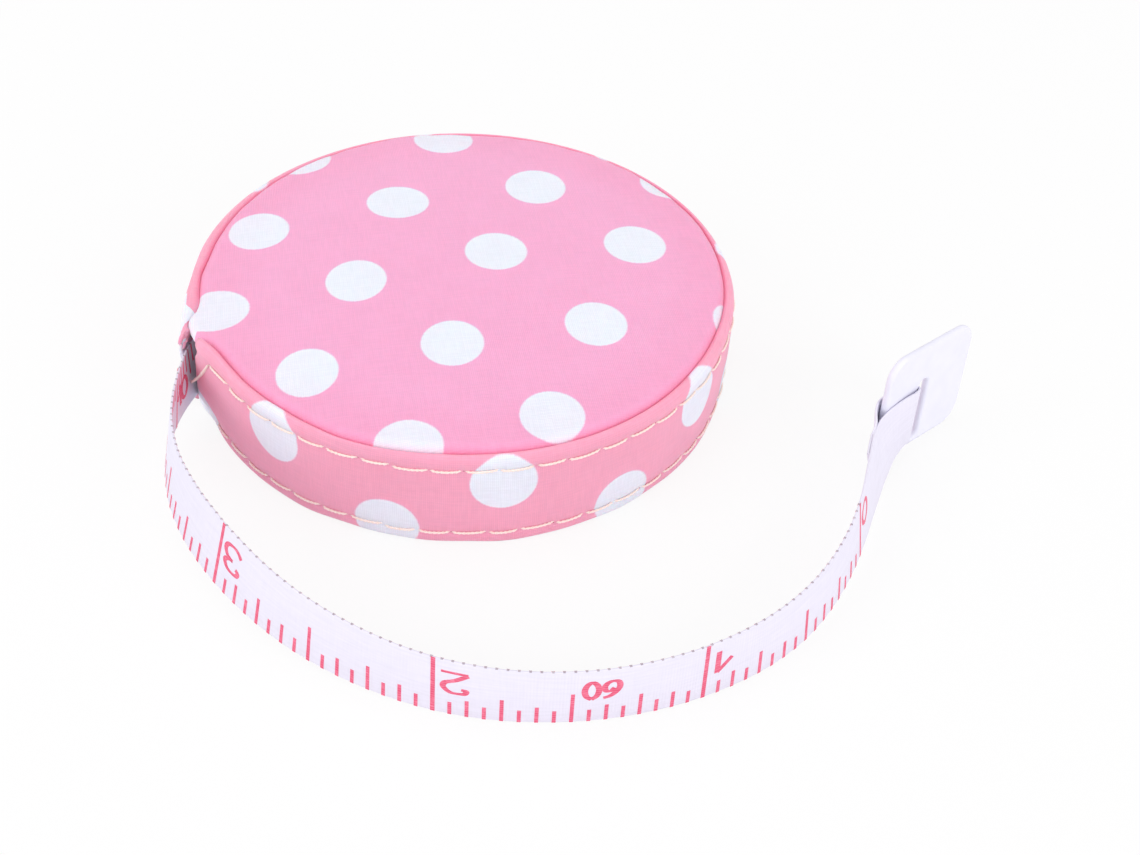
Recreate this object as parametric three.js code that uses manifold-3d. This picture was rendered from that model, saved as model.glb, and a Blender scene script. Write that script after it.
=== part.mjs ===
// Round cloth-covered tape measure with a spring-wound tape, a push button under the
// centre of the top cloth and a plastic tab on the tape's end.
// Millimetres, +Z up. The origin is the centre of the underside, on the surface that
// the case lies on. The tape leaves the case at the left and curls round the front.

import * as THREE from "three";
import { mergeVertices } from "three/addons/utils/BufferGeometryUtils.js";
import Module from "manifold-3d";

const wasm = await Module();
wasm.setup();

// Driving sizes
const caseRadius = 30;
const tapeWidth = 7;
const tapeThickness = 0.3;
const woundTurnCount = 10.4;
const clearance = 0.3;
const softGap = 0.3;
const coverThickness = 0.5;
const wadThickness = 0.5;
const shellPlate = 0.8;
const shellWall = 1.3;
const bandThickness = 0.7;
const tapeEdgeGap = 0.7;
const buttonTravel = 1;
const mouthHeading = THREE.MathUtils.degToRad(253);

// How finely round pieces are cut into flats, and how near two corners are to be one
const roundSteps = 48;
const smallSteps = 24;
const pinSteps = 12;
const wireSteps = 6;
const weldDistance = 0.0003;

// Levels of the stacked case, from the table up
const floorUnder = coverThickness + wadThickness;
const floorTop = floorUnder + shellPlate;
const tapeLow = floorTop + tapeEdgeGap;
const tapeHigh = tapeLow + tapeWidth;
const roofUnder = tapeHigh + tapeEdgeGap;
const roofTop = roofUnder + shellPlate;
const topCoverUnder = roofTop + wadThickness;
const caseTop = topCoverUnder + coverThickness;
const partingLevel = (floorUnder + roofTop) / 2;

// Radii of the case
const bandInner = caseRadius - bandThickness;
const shellRadius = bandInner - softGap;
const shellInner = shellRadius - shellWall;
const coverRadius = shellRadius;
const coverEdgeRound = 0.2;
const coverCrown = 0.12;
const crownFlatShare = 0.8;
const wadMargin = 0.6;
const wadRadius = shellRadius - wadMargin;

// Cloth band round the side, with a folded hem along each edge
const bandEdgeSetback = 0.25;
const bandLow = bandEdgeSetback;
const bandHigh = caseTop - bandEdgeSetback;
const hemHeight = 2.4;
const hemStep = 0.12;
const hemBevel = 0.15;
const bandNearEnd = THREE.MathUtils.degToRad(206);
const flapStart = THREE.MathUtils.degToRad(183);
const flapTip = THREE.MathUtils.degToRad(204);
const flapLift = 2.05;
const bandRingSteps = 60;
const flapSteps = 10;

// Locating pins between the two shells, kept away from the tape's way out
const pinAngles = [25, 145, 265].map(THREE.MathUtils.degToRad);
const pinRadius = 0.8;
const pinHeight = 2;
const pinBossRadius = 1.8;
const bossMerge = 0.1;
const pinCircle = shellInner - pinBossRadius + bossMerge;
const socketRadius = pinRadius + clearance;
const socketDepth = pinHeight + clearance;

// Wound tape, in the room that the pins' bosses leave
const coilRoom = 1.18;
const coilOuter = pinCircle - pinBossRadius - coilRoom;
const coilInner = coilOuter - woundTurnCount * tapeThickness;

// Barrel of the drum inside the wound tape
const barrelRadius = coilInner - clearance;
const barrelWall = 1.6;
const barrelInner = barrelRadius - barrelWall;

// Hollow spindle that stands on the case floor and carries the drum
const spindleRadius = 3.2;
const spindleBore = 2.2;
const bossRadius = 4.4;
const bossLid = 0.2;
const spokeCount = 3;
const spokeWidth = 1.2;
const springSlit = 0.8;

// Brake plate, its felt and the button above them, at rest with the button up
const floorGap = 0.2;
const brakeGap = 0.2;
const brakePlate = 0.6;
const feltThickness = 0.5;
const brakeRoom = 3;
const brakeTrack = 3.5;
const brakeOuter = barrelInner - brakeRoom;
const brakeInner = brakeOuter - brakeTrack;
const feltMargin = 0.2;
const plateLow = floorTop + floorGap + buttonTravel;
const plateTop = plateLow + brakePlate;
const feltTop = plateTop + feltThickness;
const hubRadius = spindleBore - clearance;
const stemRadius = 1.6;
const stemTipRadius = 0.9;
const hubBore = stemTipRadius + clearance;
const clipThickness = 0.4;
const clipTop = plateLow - clearance;
const clipLow = clipTop - clipThickness;
const stemTipLow = clipLow - floorGap;
const stemShoulder = plateTop + clearance;
const capRadius = 7;
const capThickness = 0.8;
const capBevel = 0.25;
const capUnder = roofTop - capThickness;
const roofHole = capRadius + clearance;
const spokeSlotTop = plateTop + clearance;
const bossTop = spokeSlotTop + bossLid;

// Web across the drum's barrel, the spring chamber above the web and its cover
const barrelLip = 0.2;
const webThickness = 0.7;
const webUnder = Math.max(feltTop, bossTop) + brakeGap;
const webTop = webUnder + webThickness;
const webBore = spindleRadius + clearance;
const barrelLow = tapeLow - barrelLip;
const barrelTop = tapeHigh + barrelLip;
const drumCoverThickness = 0.5;
const capPressedGap = 0.4;
const drumCoverTop = capUnder - buttonTravel - capPressedGap;
const drumCoverUnder = drumCoverTop - drumCoverThickness;
const ledgeWidth = 0.7;
const rebateRadius = barrelInner + ledgeWidth;
const drumCoverRadius = rebateRadius - clearance;
const drumCoverHole = 5.6;
const spindleTop = drumCoverUnder;

// Power spring: a steel strip, mostly unwound against the barrel
const springThickness = 0.2;
const springLow = webTop + clearance;
const springHigh = drumCoverUnder - clearance;
const springOuter = barrelInner - clearance - springThickness / 2;
const springInner = spindleRadius + clearance + springThickness / 2;
const packedTurnCount = 8;
const springTurnGap = 0.4;
const packedPitch = springThickness + springTurnGap;
const openTurnCount = 2.5;
const springTurnSteps = 18;

// Button return spring: a conical coil between the spindle's rim and the cap
const wireRadius = 0.15;
const returnTurnCount = 3.5;
const returnTurnSteps = 12;
const returnEndGap = 0.1;
const returnLow = spindleTop + wireRadius + returnEndGap;
const returnHigh = capUnder - wireRadius - returnEndGap;
const returnSmall = (spindleRadius + spindleBore) / 2;
const returnLarge = drumCoverHole - clearance - wireRadius;

// Clip that holds the tape's inner end in a pocket of the barrel
const anchorWidth = 2.6;
const anchorDepth = 0.55;
const anchorAngle = THREE.MathUtils.degToRad(70);
const pocketWidth = anchorWidth + 2 * clearance;
const pocketDepth = anchorDepth + clearance;
const anchorEndGap = 0.6;

// Line on which the tape runs out, and the shells' mouth on it
const runGap = 0.25;
const runOffset = coilOuter + runGap + tapeThickness / 2;
const exitReach = 0.9;
const exitRun = Math.sqrt((caseRadius + exitReach) ** 2 - runOffset ** 2);
const mouthWidth = 1.6;
const mouthMargin = 0.5;
const mouthOverrun = 2;
const exitLead = 4;

// Plastic tab on the tape's end
const tabLength = 14.6;
const tabHeight = 13;
const tabThickness = 0.9;
const tabCorner = 2.6;
const tabSlotStart = 5.95;
const tabSlotWidth = 1.3;
const tabSlotLength = 7.85;
const tabSlotMiddle = -1.83;
const tabHeading = THREE.MathUtils.degToRad(44.5);
const tabLean = THREE.MathUtils.degToRad(5);
const tabDip = THREE.MathUtils.degToRad(4);
const tabCornerSteps = 6;

// Free tape: the lower edge's route over the table from the case to the tab.
// Each point is x, y and z, then how far the upper edge leans towards the case, in degrees.
const tapeRoute = [
  [-28.94, -15.35, 2.55, 5],
  [-29.18, -18.34, 2.67, 8.2],
  [-29.0, -21.83, 2.87, 10.4],
  [-28.24, -25.75, 3.08, 11.9],
  [-26.67, -30.17, 3.23, 13.8],
  [-24.4, -34.27, 3.2, 16.2],
  [-21.53, -37.99, 2.99, 17.2],
  [-18.21, -41.29, 2.58, 16.4],
  [-14.53, -44.15, 2.03, 14.3],
  [-10.52, -46.53, 1.44, 11.9],
  [-6.25, -48.41, 0.93, 9.1],
  [-1.79, -49.86, 0.55, 6.4],
  [2.79, -50.83, 0.31, 4.2],
  [7.47, -51.23, 0.18, 2.4],
  [12.17, -51.11, 0.16, 1.2],
  [16.83, -50.49, 0.18, 1.0],
  [21.37, -49.31, 0.2, 1.5],
  [25.74, -47.58, 0.19, 2.6],
  [29.86, -45.33, 0.19, 4],
  [33.69, -42.61, 0.24, 6],
  [37.06, -39.35, 0.41, 7.6],
  [39.82, -35.56, 0.69, 8.4],
  [42.02, -31.42, 0.97, 9.4],
  [43.78, -27.07, 1.2, 11.5],
  [45.28, -22.62, 1.36, 15],
  [46.8, -18.17, 1.48, 19],
];
const tabPlace = new THREE.Vector3(45.88, -14.01, 7.6);
const routeSteps = 72;

// The tape's folded end in the tab's own axes: the lower edge's place along the tab, in
// front of the middle of its plate and up it, then how far the strip has turned from the
// free tape's lean to the plate's.
const foldRoute = [
  [-1.35, 2.85, -6.5, 0],
  [0.1, 2.2, -6.25, 0.05],
  [1.6, 1.55, -6.0, 0.35],
  [3.1, 1.1, -5.75, 0.7],
  [4.5, 0.85, -5.6, 1],
  [5.75, 0.8, -5.55, 1],
  [6.2, 0.5, -5.55, 1],
  [6.3, 0, -5.55, 1],
  [6.2, -0.5, -5.55, 1],
  [5.75, -0.8, -5.55, 1],
  [4.4, -0.88, -5.55, 1],
  [2.4, -0.88, -5.55, 1],
  [0.5, -0.7, -5.6, 0.85],
  [-0.9, 0.5, -5.7, 0.5],
];
const foldSteps = 48;
const tailFrom = 1.2;
const tailTo = 4.2;
const tailGap = tapeThickness + softGap;

// Materials
const finish = (color, roughness, metalness = 0) =>
  new THREE.MeshStandardMaterial({ color, roughness, metalness });
const pinkCloth = finish(0xfd9cbd, 0.9);
const wadding = finish(0xf6f2f0, 0.95);
const whitePlastic = finish(0xf1eff6, 0.45);
const naturalPlastic = finish(0xe6e4dc, 0.5);
const tapeVinyl = finish(0xece8f6, 0.55);
const springSteel = finish(0x8f959c, 0.3, 1);
const brakeFelt = finish(0x8a8683, 0.98);

// A lathe turns a profile of radius and level pairs about +Z.
function turned(profile, steps = roundSteps) {
  const points = profile.map(([radius, level]) => new THREE.Vector2(radius, level));
  return new THREE.LatheGeometry(points, steps).rotateX(Math.PI / 2);
}

// A flat ring or, with no bore, a disc between two levels
function ring(bore, radius, low, high, steps = roundSteps) {
  const profile = [[bore, low], [radius, low], [radius, high], [bore, high]];
  return turned(bore > 0 ? [...profile, profile[0]] : profile, steps);
}

function box(sizeX, sizeY, low, high) {
  return new THREE.BoxGeometry(sizeX, sizeY, high - low).translate(0, 0, (low + high) / 2);
}

// A closed geometry as a solid that can be cut and joined
function solid(geometry) {
  const bare = geometry.clone();
  bare.deleteAttribute("normal");
  bare.deleteAttribute("uv");
  const merged = mergeVertices(bare, weldDistance);
  return new wasm.Manifold(
    new wasm.Mesh({
      numProp: 3,
      vertProperties: new Float32Array(merged.attributes.position.array),
      triVerts: new Uint32Array(merged.index.array),
    }),
  );
}

function cut(base, ...tools) {
  return tools.reduce((rest, tool) => rest.subtract(solid(tool)), base);
}

function join(...geometries) {
  return geometries.map(solid).reduce((sum, next) => sum.add(next));
}

function asGeometry(made) {
  const { vertProperties, triVerts } = made.getMesh();
  const geometry = new THREE.BufferGeometry();
  geometry.setAttribute("position", new THREE.Float32BufferAttribute(vertProperties, 3));
  geometry.setIndex(Array.from(triVerts));
  geometry.computeVertexNormals();
  return geometry;
}

function piece(name, shape, material) {
  const geometry = shape.isBufferGeometry ? shape : asGeometry(shape);
  const mesh = new THREE.Mesh(geometry, material);
  mesh.name = name;
  return mesh;
}

// A skin through rows of points, one closed row per station, with a cap on each end.
// The caps are cut into triangles on the flat outline that every row follows.
function lofted(rows, outline) {
  const around = outline.length;
  const index = [];
  for (let row = 0; row + 1 < rows.length; row += 1) {
    for (let i = 0; i < around; i += 1) {
      const a = row * around + i;
      const b = row * around + ((i + 1) % around);
      index.push(a, b, b + around, a, b + around, a + around);
    }
  }
  const last = (rows.length - 1) * around;
  for (const [a, b, c] of THREE.ShapeUtils.triangulateShape(outline, [])) {
    index.push(a, c, b, last + a, last + b, last + c);
  }
  const geometry = new THREE.BufferGeometry().setFromPoints(rows.flat());
  geometry.setIndex(index);
  geometry.computeVertexNormals();
  return geometry;
}

// A strip stands on its lower edge: each station has that edge's middle, the way up
// across the strip and the way out of its outer face.
function strip(stations, width, thickness) {
  const half = thickness / 2;
  const outline = [[-half, 0], [half, 0], [half, width], [-half, width]];
  const rows = stations.map(({ foot, up, out }) =>
    outline.map(([side, rise]) => foot.clone().addScaledVector(out, side).addScaledVector(up, rise)),
  );
  return lofted(rows.reverse(), outline.map(([side, rise]) => new THREE.Vector2(side, rise)));
}

// Case shells: two cups that meet at the parting level
const runDirection = new THREE.Vector3(Math.cos(mouthHeading), Math.sin(mouthHeading), 0);
const runOut = new THREE.Vector3(Math.sin(mouthHeading), -Math.cos(mouthHeading), 0);
const runStart = runOut.clone().multiplyScalar(runOffset);

function mouthCutter() {
  const inner = Math.sqrt(shellInner ** 2 - runOffset ** 2) - mouthOverrun;
  const outer = Math.sqrt(shellRadius ** 2 - runOffset ** 2) + mouthOverrun;
  const cutter = box(outer - inner, mouthWidth, tapeLow - mouthMargin, tapeHigh + mouthMargin);
  const place = runStart.clone().addScaledVector(runDirection, (inner + outer) / 2);
  return cutter.rotateZ(mouthHeading).translate(place.x, place.y, 0);
}

function atPins(geometry) {
  return pinAngles.map((angle) => geometry.clone().translate(pinCircle, 0, 0).rotateZ(angle));
}

function lowerShell() {
  const cup = turned([
    [spindleBore, floorUnder],
    [shellRadius, floorUnder],
    [shellRadius, partingLevel],
    [shellInner, partingLevel],
    [shellInner, floorTop],
    [bossRadius, floorTop],
    [bossRadius, bossTop],
    [spindleRadius, bossTop],
    [spindleRadius, spindleTop],
    [spindleBore, spindleTop],
    [spindleBore, floorUnder],
  ]);
  const bosses = atPins(ring(0, pinBossRadius, floorUnder, partingLevel, pinSteps));
  const pins = atPins(ring(0, pinRadius, floorTop, partingLevel + pinHeight, pinSteps));
  const slots = [];
  for (let i = 0; i < spokeCount; i += 1) {
    const slot = box(bossRadius, spokeWidth + 2 * clearance, floorTop, spokeSlotTop);
    slots.push(slot.translate(spindleBore / 2 + bossRadius / 2, 0, 0).rotateZ(spokeAngle(i)));
  }
  const slit = box(spindleRadius, springSlit, webTop, spindleTop + clearance);
  return cut(join(cup, ...bosses, ...pins), ...slots, slit.translate(-spindleRadius, 0, 0), mouthCutter());
}

function upperShell() {
  const cup = turned([
    [shellInner, partingLevel],
    [shellRadius, partingLevel],
    [shellRadius, roofTop],
    [roofHole, roofTop],
    [roofHole, roofUnder],
    [shellInner, roofUnder],
    [shellInner, partingLevel],
  ]);
  const bosses = atPins(ring(0, pinBossRadius, partingLevel, roofTop, pinSteps));
  const sockets = atPins(
    ring(0, socketRadius, partingLevel - clearance, partingLevel + socketDepth, pinSteps),
  );
  return cut(join(cup, ...bosses), ...sockets, mouthCutter());
}

// Cloth and wadding of the case
function bottomCover() {
  return turned([
    [0, 0],
    [coverRadius - coverEdgeRound, 0],
    [coverRadius, coverEdgeRound],
    [coverRadius, coverThickness],
    [0, coverThickness],
  ]);
}

function topCover() {
  return turned([
    [0, topCoverUnder],
    [coverRadius, topCoverUnder],
    [coverRadius, caseTop - coverCrown - coverEdgeRound],
    [coverRadius - coverEdgeRound, caseTop - coverCrown],
    [coverRadius * crownFlatShare, caseTop],
    [0, caseTop],
  ]);
}

// The band starts beside the mouth, goes once round and ends in a flap over the mouth.
function sideBand() {
  const half = bandThickness / 2;
  const profile = [
    [-half, bandLow],
    [half - hemBevel, bandLow],
    [half, bandLow + hemBevel],
    [half, bandLow + hemHeight],
    [half - hemStep, bandLow + hemHeight + hemBevel],
    [half - hemStep, bandHigh - hemHeight - hemBevel],
    [half, bandHigh - hemHeight],
    [half, bandHigh - hemBevel],
    [half - hemBevel, bandHigh],
    [-half, bandHigh],
  ];
  const fullTurn = 2 * Math.PI;
  const flapFrom = flapStart + fullTurn;
  const flapTo = flapTip + fullTurn;
  const rows = [];
  const addRow = (angle, lift) => {
    const middle = caseRadius - half + lift;
    const row = profile.map(([side, level]) => {
      const radius = middle + side;
      return new THREE.Vector3(radius * Math.cos(angle), radius * Math.sin(angle), level);
    });
    rows.push(row);
  };
  for (let i = 0; i <= bandRingSteps; i += 1) {
    addRow(THREE.MathUtils.lerp(bandNearEnd, flapFrom, i / bandRingSteps), 0);
  }
  for (let i = 1; i <= flapSteps; i += 1) {
    const share = i / flapSteps;
    const lift = flapLift * THREE.MathUtils.smoothstep(share, 0, 1);
    addRow(THREE.MathUtils.lerp(flapFrom, flapTo, share), lift);
  }
  return lofted(rows.reverse(), profile.map(([side, level]) => new THREE.Vector2(side, level)));
}

// Drum, its cover, the wound tape and the clip of the tape's inner end
function drumProfile() {
  return [
    [webBore, webUnder],
    [barrelInner, webUnder],
    [barrelInner, barrelLow],
    [barrelRadius, barrelLow],
    [barrelRadius, barrelTop],
    [rebateRadius, barrelTop],
    [rebateRadius, drumCoverUnder],
    [barrelInner, drumCoverUnder],
    [barrelInner, webTop],
    [webBore, webTop],
    [webBore, webUnder],
  ];
}

function tapeDrum() {
  const pocket = box(2 * pocketDepth, pocketWidth, barrelLow - clearance, barrelTop + clearance);
  const placed = pocket.translate(barrelRadius, 0, 0).rotateZ(anchorAngle);
  return cut(solid(turned(drumProfile())), placed);
}

function tapeAnchor() {
  const clip = box(anchorDepth, anchorWidth, tapeLow + anchorEndGap, tapeHigh - anchorEndGap);
  const middle = barrelRadius - pocketDepth + clearance / 2 + anchorDepth / 2;
  return clip.translate(middle, 0, 0).rotateZ(anchorAngle);
}

// Power spring: even turns at the barrel, then wide turns in to the spindle
function powerSpring() {
  const turns = packedTurnCount + openTurnCount;
  const steps = Math.round(turns * springTurnSteps);
  const packedEnd = springOuter - packedTurnCount * packedPitch;
  const stations = [];
  for (let i = 0; i <= steps; i += 1) {
    const turn = (i / steps) * turns;
    const openShare = Math.max(0, turn - packedTurnCount) / openTurnCount;
    const radius =
      turn <= packedTurnCount
        ? springOuter - turn * packedPitch
        : THREE.MathUtils.lerp(packedEnd, springInner, openShare);
    const angle = anchorAngle + turn * 2 * Math.PI;
    const out = new THREE.Vector3(Math.cos(angle), Math.sin(angle), 0);
    const foot = out.clone().multiplyScalar(radius).setZ(springLow);
    stations.push({ foot, up: new THREE.Vector3(0, 0, 1), out });
  }
  return strip(stations, springHigh - springLow, springThickness);
}

// Button, brake plate, felt, clip and return spring
function spokeAngle(i) {
  return Math.PI / 2 + (i * 2 * Math.PI) / spokeCount;
}

function pushButton() {
  return turned(
    [
      [0, stemTipLow],
      [stemTipRadius, stemTipLow],
      [stemTipRadius, stemShoulder],
      [stemRadius, stemShoulder],
      [stemRadius, capUnder],
      [capRadius, capUnder],
      [capRadius, roofTop - capBevel],
      [capRadius - capBevel, roofTop],
      [0, roofTop],
    ],
    smallSteps,
  );
}

function brakeRing() {
  const hub = ring(hubBore, hubRadius, plateLow, plateTop, smallSteps);
  const track = ring(brakeInner, brakeOuter, plateLow, plateTop, smallSteps);
  const hubMiddle = (hubBore + hubRadius) / 2;
  const trackMiddle = (brakeInner + brakeOuter) / 2;
  const spokes = [];
  for (let i = 0; i < spokeCount; i += 1) {
    const spoke = box(trackMiddle - hubMiddle, spokeWidth, plateLow, plateTop);
    spokes.push(spoke.translate((trackMiddle + hubMiddle) / 2, 0, 0).rotateZ(spokeAngle(i)));
  }
  return join(hub, track, ...spokes);
}

function returnSpring() {
  class Cone extends THREE.Curve {
    getPoint(share, target = new THREE.Vector3()) {
      const angle = share * returnTurnCount * 2 * Math.PI;
      const radius = THREE.MathUtils.lerp(returnSmall, returnLarge, share);
      const level = THREE.MathUtils.lerp(returnLow, returnHigh, share);
      return target.set(radius * Math.cos(angle), radius * Math.sin(angle), level);
    }
  }
  const section = new THREE.Shape().absarc(0, 0, wireRadius, 0, 2 * Math.PI);
  return new THREE.ExtrudeGeometry(section, {
    extrudePath: new Cone(),
    steps: Math.round(returnTurnCount * returnTurnSteps),
    curveSegments: wireSteps / 2,
  });
}

// Tab: its own axes run along it, up it and out of its front face
const tabFlat = new THREE.Vector3(Math.cos(tabHeading), Math.sin(tabHeading), 0);
const tabFlatOut = new THREE.Vector3(Math.sin(tabHeading), -Math.cos(tabHeading), 0);
const upward = new THREE.Vector3(0, 0, 1);
const tabAlong = tabFlat.clone().multiplyScalar(Math.cos(tabDip)).addScaledVector(upward, -Math.sin(tabDip));
const tabRise = upward.clone().multiplyScalar(Math.cos(tabDip)).addScaledVector(tabFlat, Math.sin(tabDip));
const tabUp = tabRise.clone().multiplyScalar(Math.cos(tabLean)).addScaledVector(tabFlatOut, -Math.sin(tabLean));
const tabOut = tabRise.clone().multiplyScalar(Math.sin(tabLean)).addScaledVector(tabFlatOut, Math.cos(tabLean));

function roundedOutline(path, left, low, width, height, corner) {
  path.absarc(left + width - corner, low + corner, corner, -Math.PI / 2, 0);
  path.absarc(left + width - corner, low + height - corner, corner, 0, Math.PI / 2);
  path.absarc(left + corner, low + height - corner, corner, Math.PI / 2, Math.PI);
  path.absarc(left + corner, low + corner, corner, Math.PI, 1.5 * Math.PI);
  return path;
}

function endTab() {
  const plate = roundedOutline(new THREE.Shape(), 0, -tabHeight / 2, tabLength, tabHeight, tabCorner);
  const slotCorner = tabSlotWidth / 2;
  const slot = new THREE.Path();
  const slotLow = tabSlotMiddle - tabSlotLength / 2;
  roundedOutline(slot, tabSlotStart, slotLow, tabSlotWidth, tabSlotLength, slotCorner);
  plate.holes.push(slot);
  const options = { depth: tabThickness, bevelEnabled: false, curveSegments: tabCornerSteps };
  const made = new THREE.ExtrudeGeometry(plate, options).translate(0, 0, -tabThickness / 2);
  made.deleteAttribute("normal");
  made.deleteAttribute("uv");
  return mergeVertices(made, weldDistance);
}

// The free tape runs straight out of the case and then follows its route to the tab.
function stationsAlong(curve, leans, steps) {
  const stations = [];
  for (let i = 0; i <= steps; i += 1) {
    const share = i / steps;
    const along = curve.getTangentAt(share);
    const inward = new THREE.Vector3(-along.y, along.x, 0).normalize();
    const lean = THREE.MathUtils.degToRad(leans(curve.getUtoTmapping(share)));
    const up = inward.clone().multiplyScalar(Math.sin(lean));
    up.z = Math.cos(lean);
    const out = new THREE.Vector3().crossVectors(along, up).normalize();
    stations.push({ foot: curve.getPointAt(share), up, out });
  }
  return stations;
}

function ribbonStations() {
  const exit = runStart.clone().addScaledVector(runDirection, exitRun).setZ(tapeLow);
  const beforeExit = runStart.clone().addScaledVector(runDirection, exitRun - exitLead);
  const points = [beforeExit.setZ(tapeLow), exit];
  const leans = [0, 0];
  for (const [x, y, z, lean] of tapeRoute) {
    points.push(new THREE.Vector3(x, y, z));
    leans.push(lean);
  }
  const curve = new THREE.CatmullRomCurve3(points);
  const leanAt = (t) => {
    const place = t * (leans.length - 1);
    const from = Math.min(Math.floor(place), leans.length - 2);
    return THREE.MathUtils.lerp(leans[from], leans[from + 1], place - from);
  };
  const straight = {
    foot: runStart.clone().setZ(tapeLow),
    up: new THREE.Vector3(0, 0, 1),
    out: runOut,
  };
  return [straight, ...stationsAlong(curve, leanAt, routeSteps)];
}

// The fold passes through the tab's slot from the front, goes round behind the bar and
// lies along the back of the tape.
function foldStations(ribbon) {
  const end = ribbon[ribbon.length - 1];
  const feet = foldRoute.map(([along, out, low]) =>
    tabPlace
      .clone()
      .addScaledVector(tabAlong, along)
      .addScaledVector(tabOut, out)
      .addScaledVector(tabUp, low),
  );
  const ups = foldRoute.map((row) => end.up.clone().lerp(tabUp, row[3]).normalize());
  const tail = ribbon
    .filter(({ foot }) => {
      const back = foot.distanceTo(end.foot);
      return back > tailFrom && back < tailTo;
    })
    .reverse();
  for (const { foot, up, out } of tail) {
    feet.push(foot.clone().addScaledVector(out, -tailGap));
    ups.push(up);
  }
  const lower = new THREE.CatmullRomCurve3(feet);
  const upper = new THREE.CatmullRomCurve3(
    feet.map((foot, i) => foot.clone().addScaledVector(ups[i], tapeWidth)),
  );
  const stations = [];
  for (let i = 0; i <= foldSteps; i += 1) {
    const foot = lower.getPoint(i / foldSteps);
    const up = upper.getPoint(i / foldSteps).sub(foot).normalize();
    const out = new THREE.Vector3().crossVectors(lower.getTangent(i / foldSteps), up).normalize();
    stations.push({ foot, up, out });
  }
  return stations;
}

const ribbon = ribbonStations();
const part = new THREE.Group();
part.add(
  piece("bottom_cover", bottomCover(), pinkCloth),
  piece("bottom_wadding", ring(0, wadRadius, coverThickness, floorUnder), wadding),
  piece("lower_shell", lowerShell(), whitePlastic),
  piece("upper_shell", upperShell(), whitePlastic),
  piece("top_wadding", ring(0, wadRadius, roofTop, topCoverUnder), wadding),
  piece("top_cover", topCover(), pinkCloth),
  piece("side_band", sideBand(), pinkCloth),
  piece("tape_drum", tapeDrum(), naturalPlastic),
  piece("drum_cover", ring(drumCoverHole, drumCoverRadius, drumCoverUnder, drumCoverTop), naturalPlastic),
  piece("power_spring", powerSpring(), springSteel),
  piece("tape_coil", ring(coilInner, coilOuter, tapeLow, tapeHigh), tapeVinyl),
  piece("tape_anchor", tapeAnchor(), naturalPlastic),
  piece("push_button", pushButton(), whitePlastic),
  piece("brake_ring", brakeRing(), naturalPlastic),
  piece(
    "brake_felt",
    ring(brakeInner + feltMargin, brakeOuter - feltMargin, plateTop, feltTop, smallSteps),
    brakeFelt,
  ),
  piece("stem_clip", ring(hubBore, hubRadius, clipLow, clipTop, smallSteps), springSteel),
  piece("return_spring", returnSpring(), springSteel),
  piece("tape_ribbon", strip(ribbon, tapeWidth, tapeThickness), tapeVinyl),
  piece("tape_end_fold", strip(foldStations(ribbon), tapeWidth, tapeThickness), tapeVinyl),
);

const tab = piece("end_tab", endTab(), whitePlastic);
tab.position.copy(tabPlace);
tab.quaternion.setFromRotationMatrix(new THREE.Matrix4().makeBasis(tabAlong, tabUp, tabOut));
part.add(tab);

export default part;
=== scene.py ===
"""Looks of a round cloth-covered tape measure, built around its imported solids.

Shapes are worked out in millimetres, in the solids' own frame, and become metres when
a mesh is made. Angles round the case are in degrees, counter-clockwise from +X.
"""
import bisect
import itertools
import math

import bmesh
import bpy
from mathutils import Matrix, Vector
from mathutils.geometry import tessellate_polygon


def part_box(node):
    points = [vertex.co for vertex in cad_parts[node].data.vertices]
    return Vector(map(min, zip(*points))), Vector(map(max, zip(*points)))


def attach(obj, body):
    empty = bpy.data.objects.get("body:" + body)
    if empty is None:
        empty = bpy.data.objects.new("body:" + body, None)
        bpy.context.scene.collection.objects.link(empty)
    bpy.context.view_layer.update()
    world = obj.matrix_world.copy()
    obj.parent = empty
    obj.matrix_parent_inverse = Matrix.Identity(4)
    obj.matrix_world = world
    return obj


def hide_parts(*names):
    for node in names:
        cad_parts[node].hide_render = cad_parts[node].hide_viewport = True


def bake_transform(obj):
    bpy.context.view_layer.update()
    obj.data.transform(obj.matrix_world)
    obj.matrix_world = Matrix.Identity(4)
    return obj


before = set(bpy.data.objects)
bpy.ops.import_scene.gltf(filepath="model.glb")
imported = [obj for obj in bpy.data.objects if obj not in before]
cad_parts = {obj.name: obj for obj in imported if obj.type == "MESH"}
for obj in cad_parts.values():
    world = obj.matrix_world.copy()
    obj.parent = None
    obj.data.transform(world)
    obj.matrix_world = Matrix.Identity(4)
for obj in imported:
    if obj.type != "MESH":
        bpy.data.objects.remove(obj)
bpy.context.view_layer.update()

MM = 0.001
UP = Vector((0, 0, 1))

# Case
CASE_RADIUS = 30.0
CASE_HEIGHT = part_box("top_cover")[1].z / MM
MID_LEVEL = CASE_HEIGHT / 2
CLOTH = 0.3
DOT_SIZE = 3.4
THREAD_PITCH = 0.2
BLUNT_END = 0.55

# Free tape
TAPE_WIDTH = 7.0
TAPE_THICKNESS = 0.24
TAPE_EDGE_ROUND = 0.09
TAPE_PITCH = 0.3
SIXTEENTH = 25.4 / 16
MOUTH_HEADING = 253
RUN_OFFSET = 23.42
EXIT_REACH = 0.9
EXIT_LEAD = 4.0
TAPE_LOW = 2.5
ZERO_FROM_EXIT = 105.9

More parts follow.
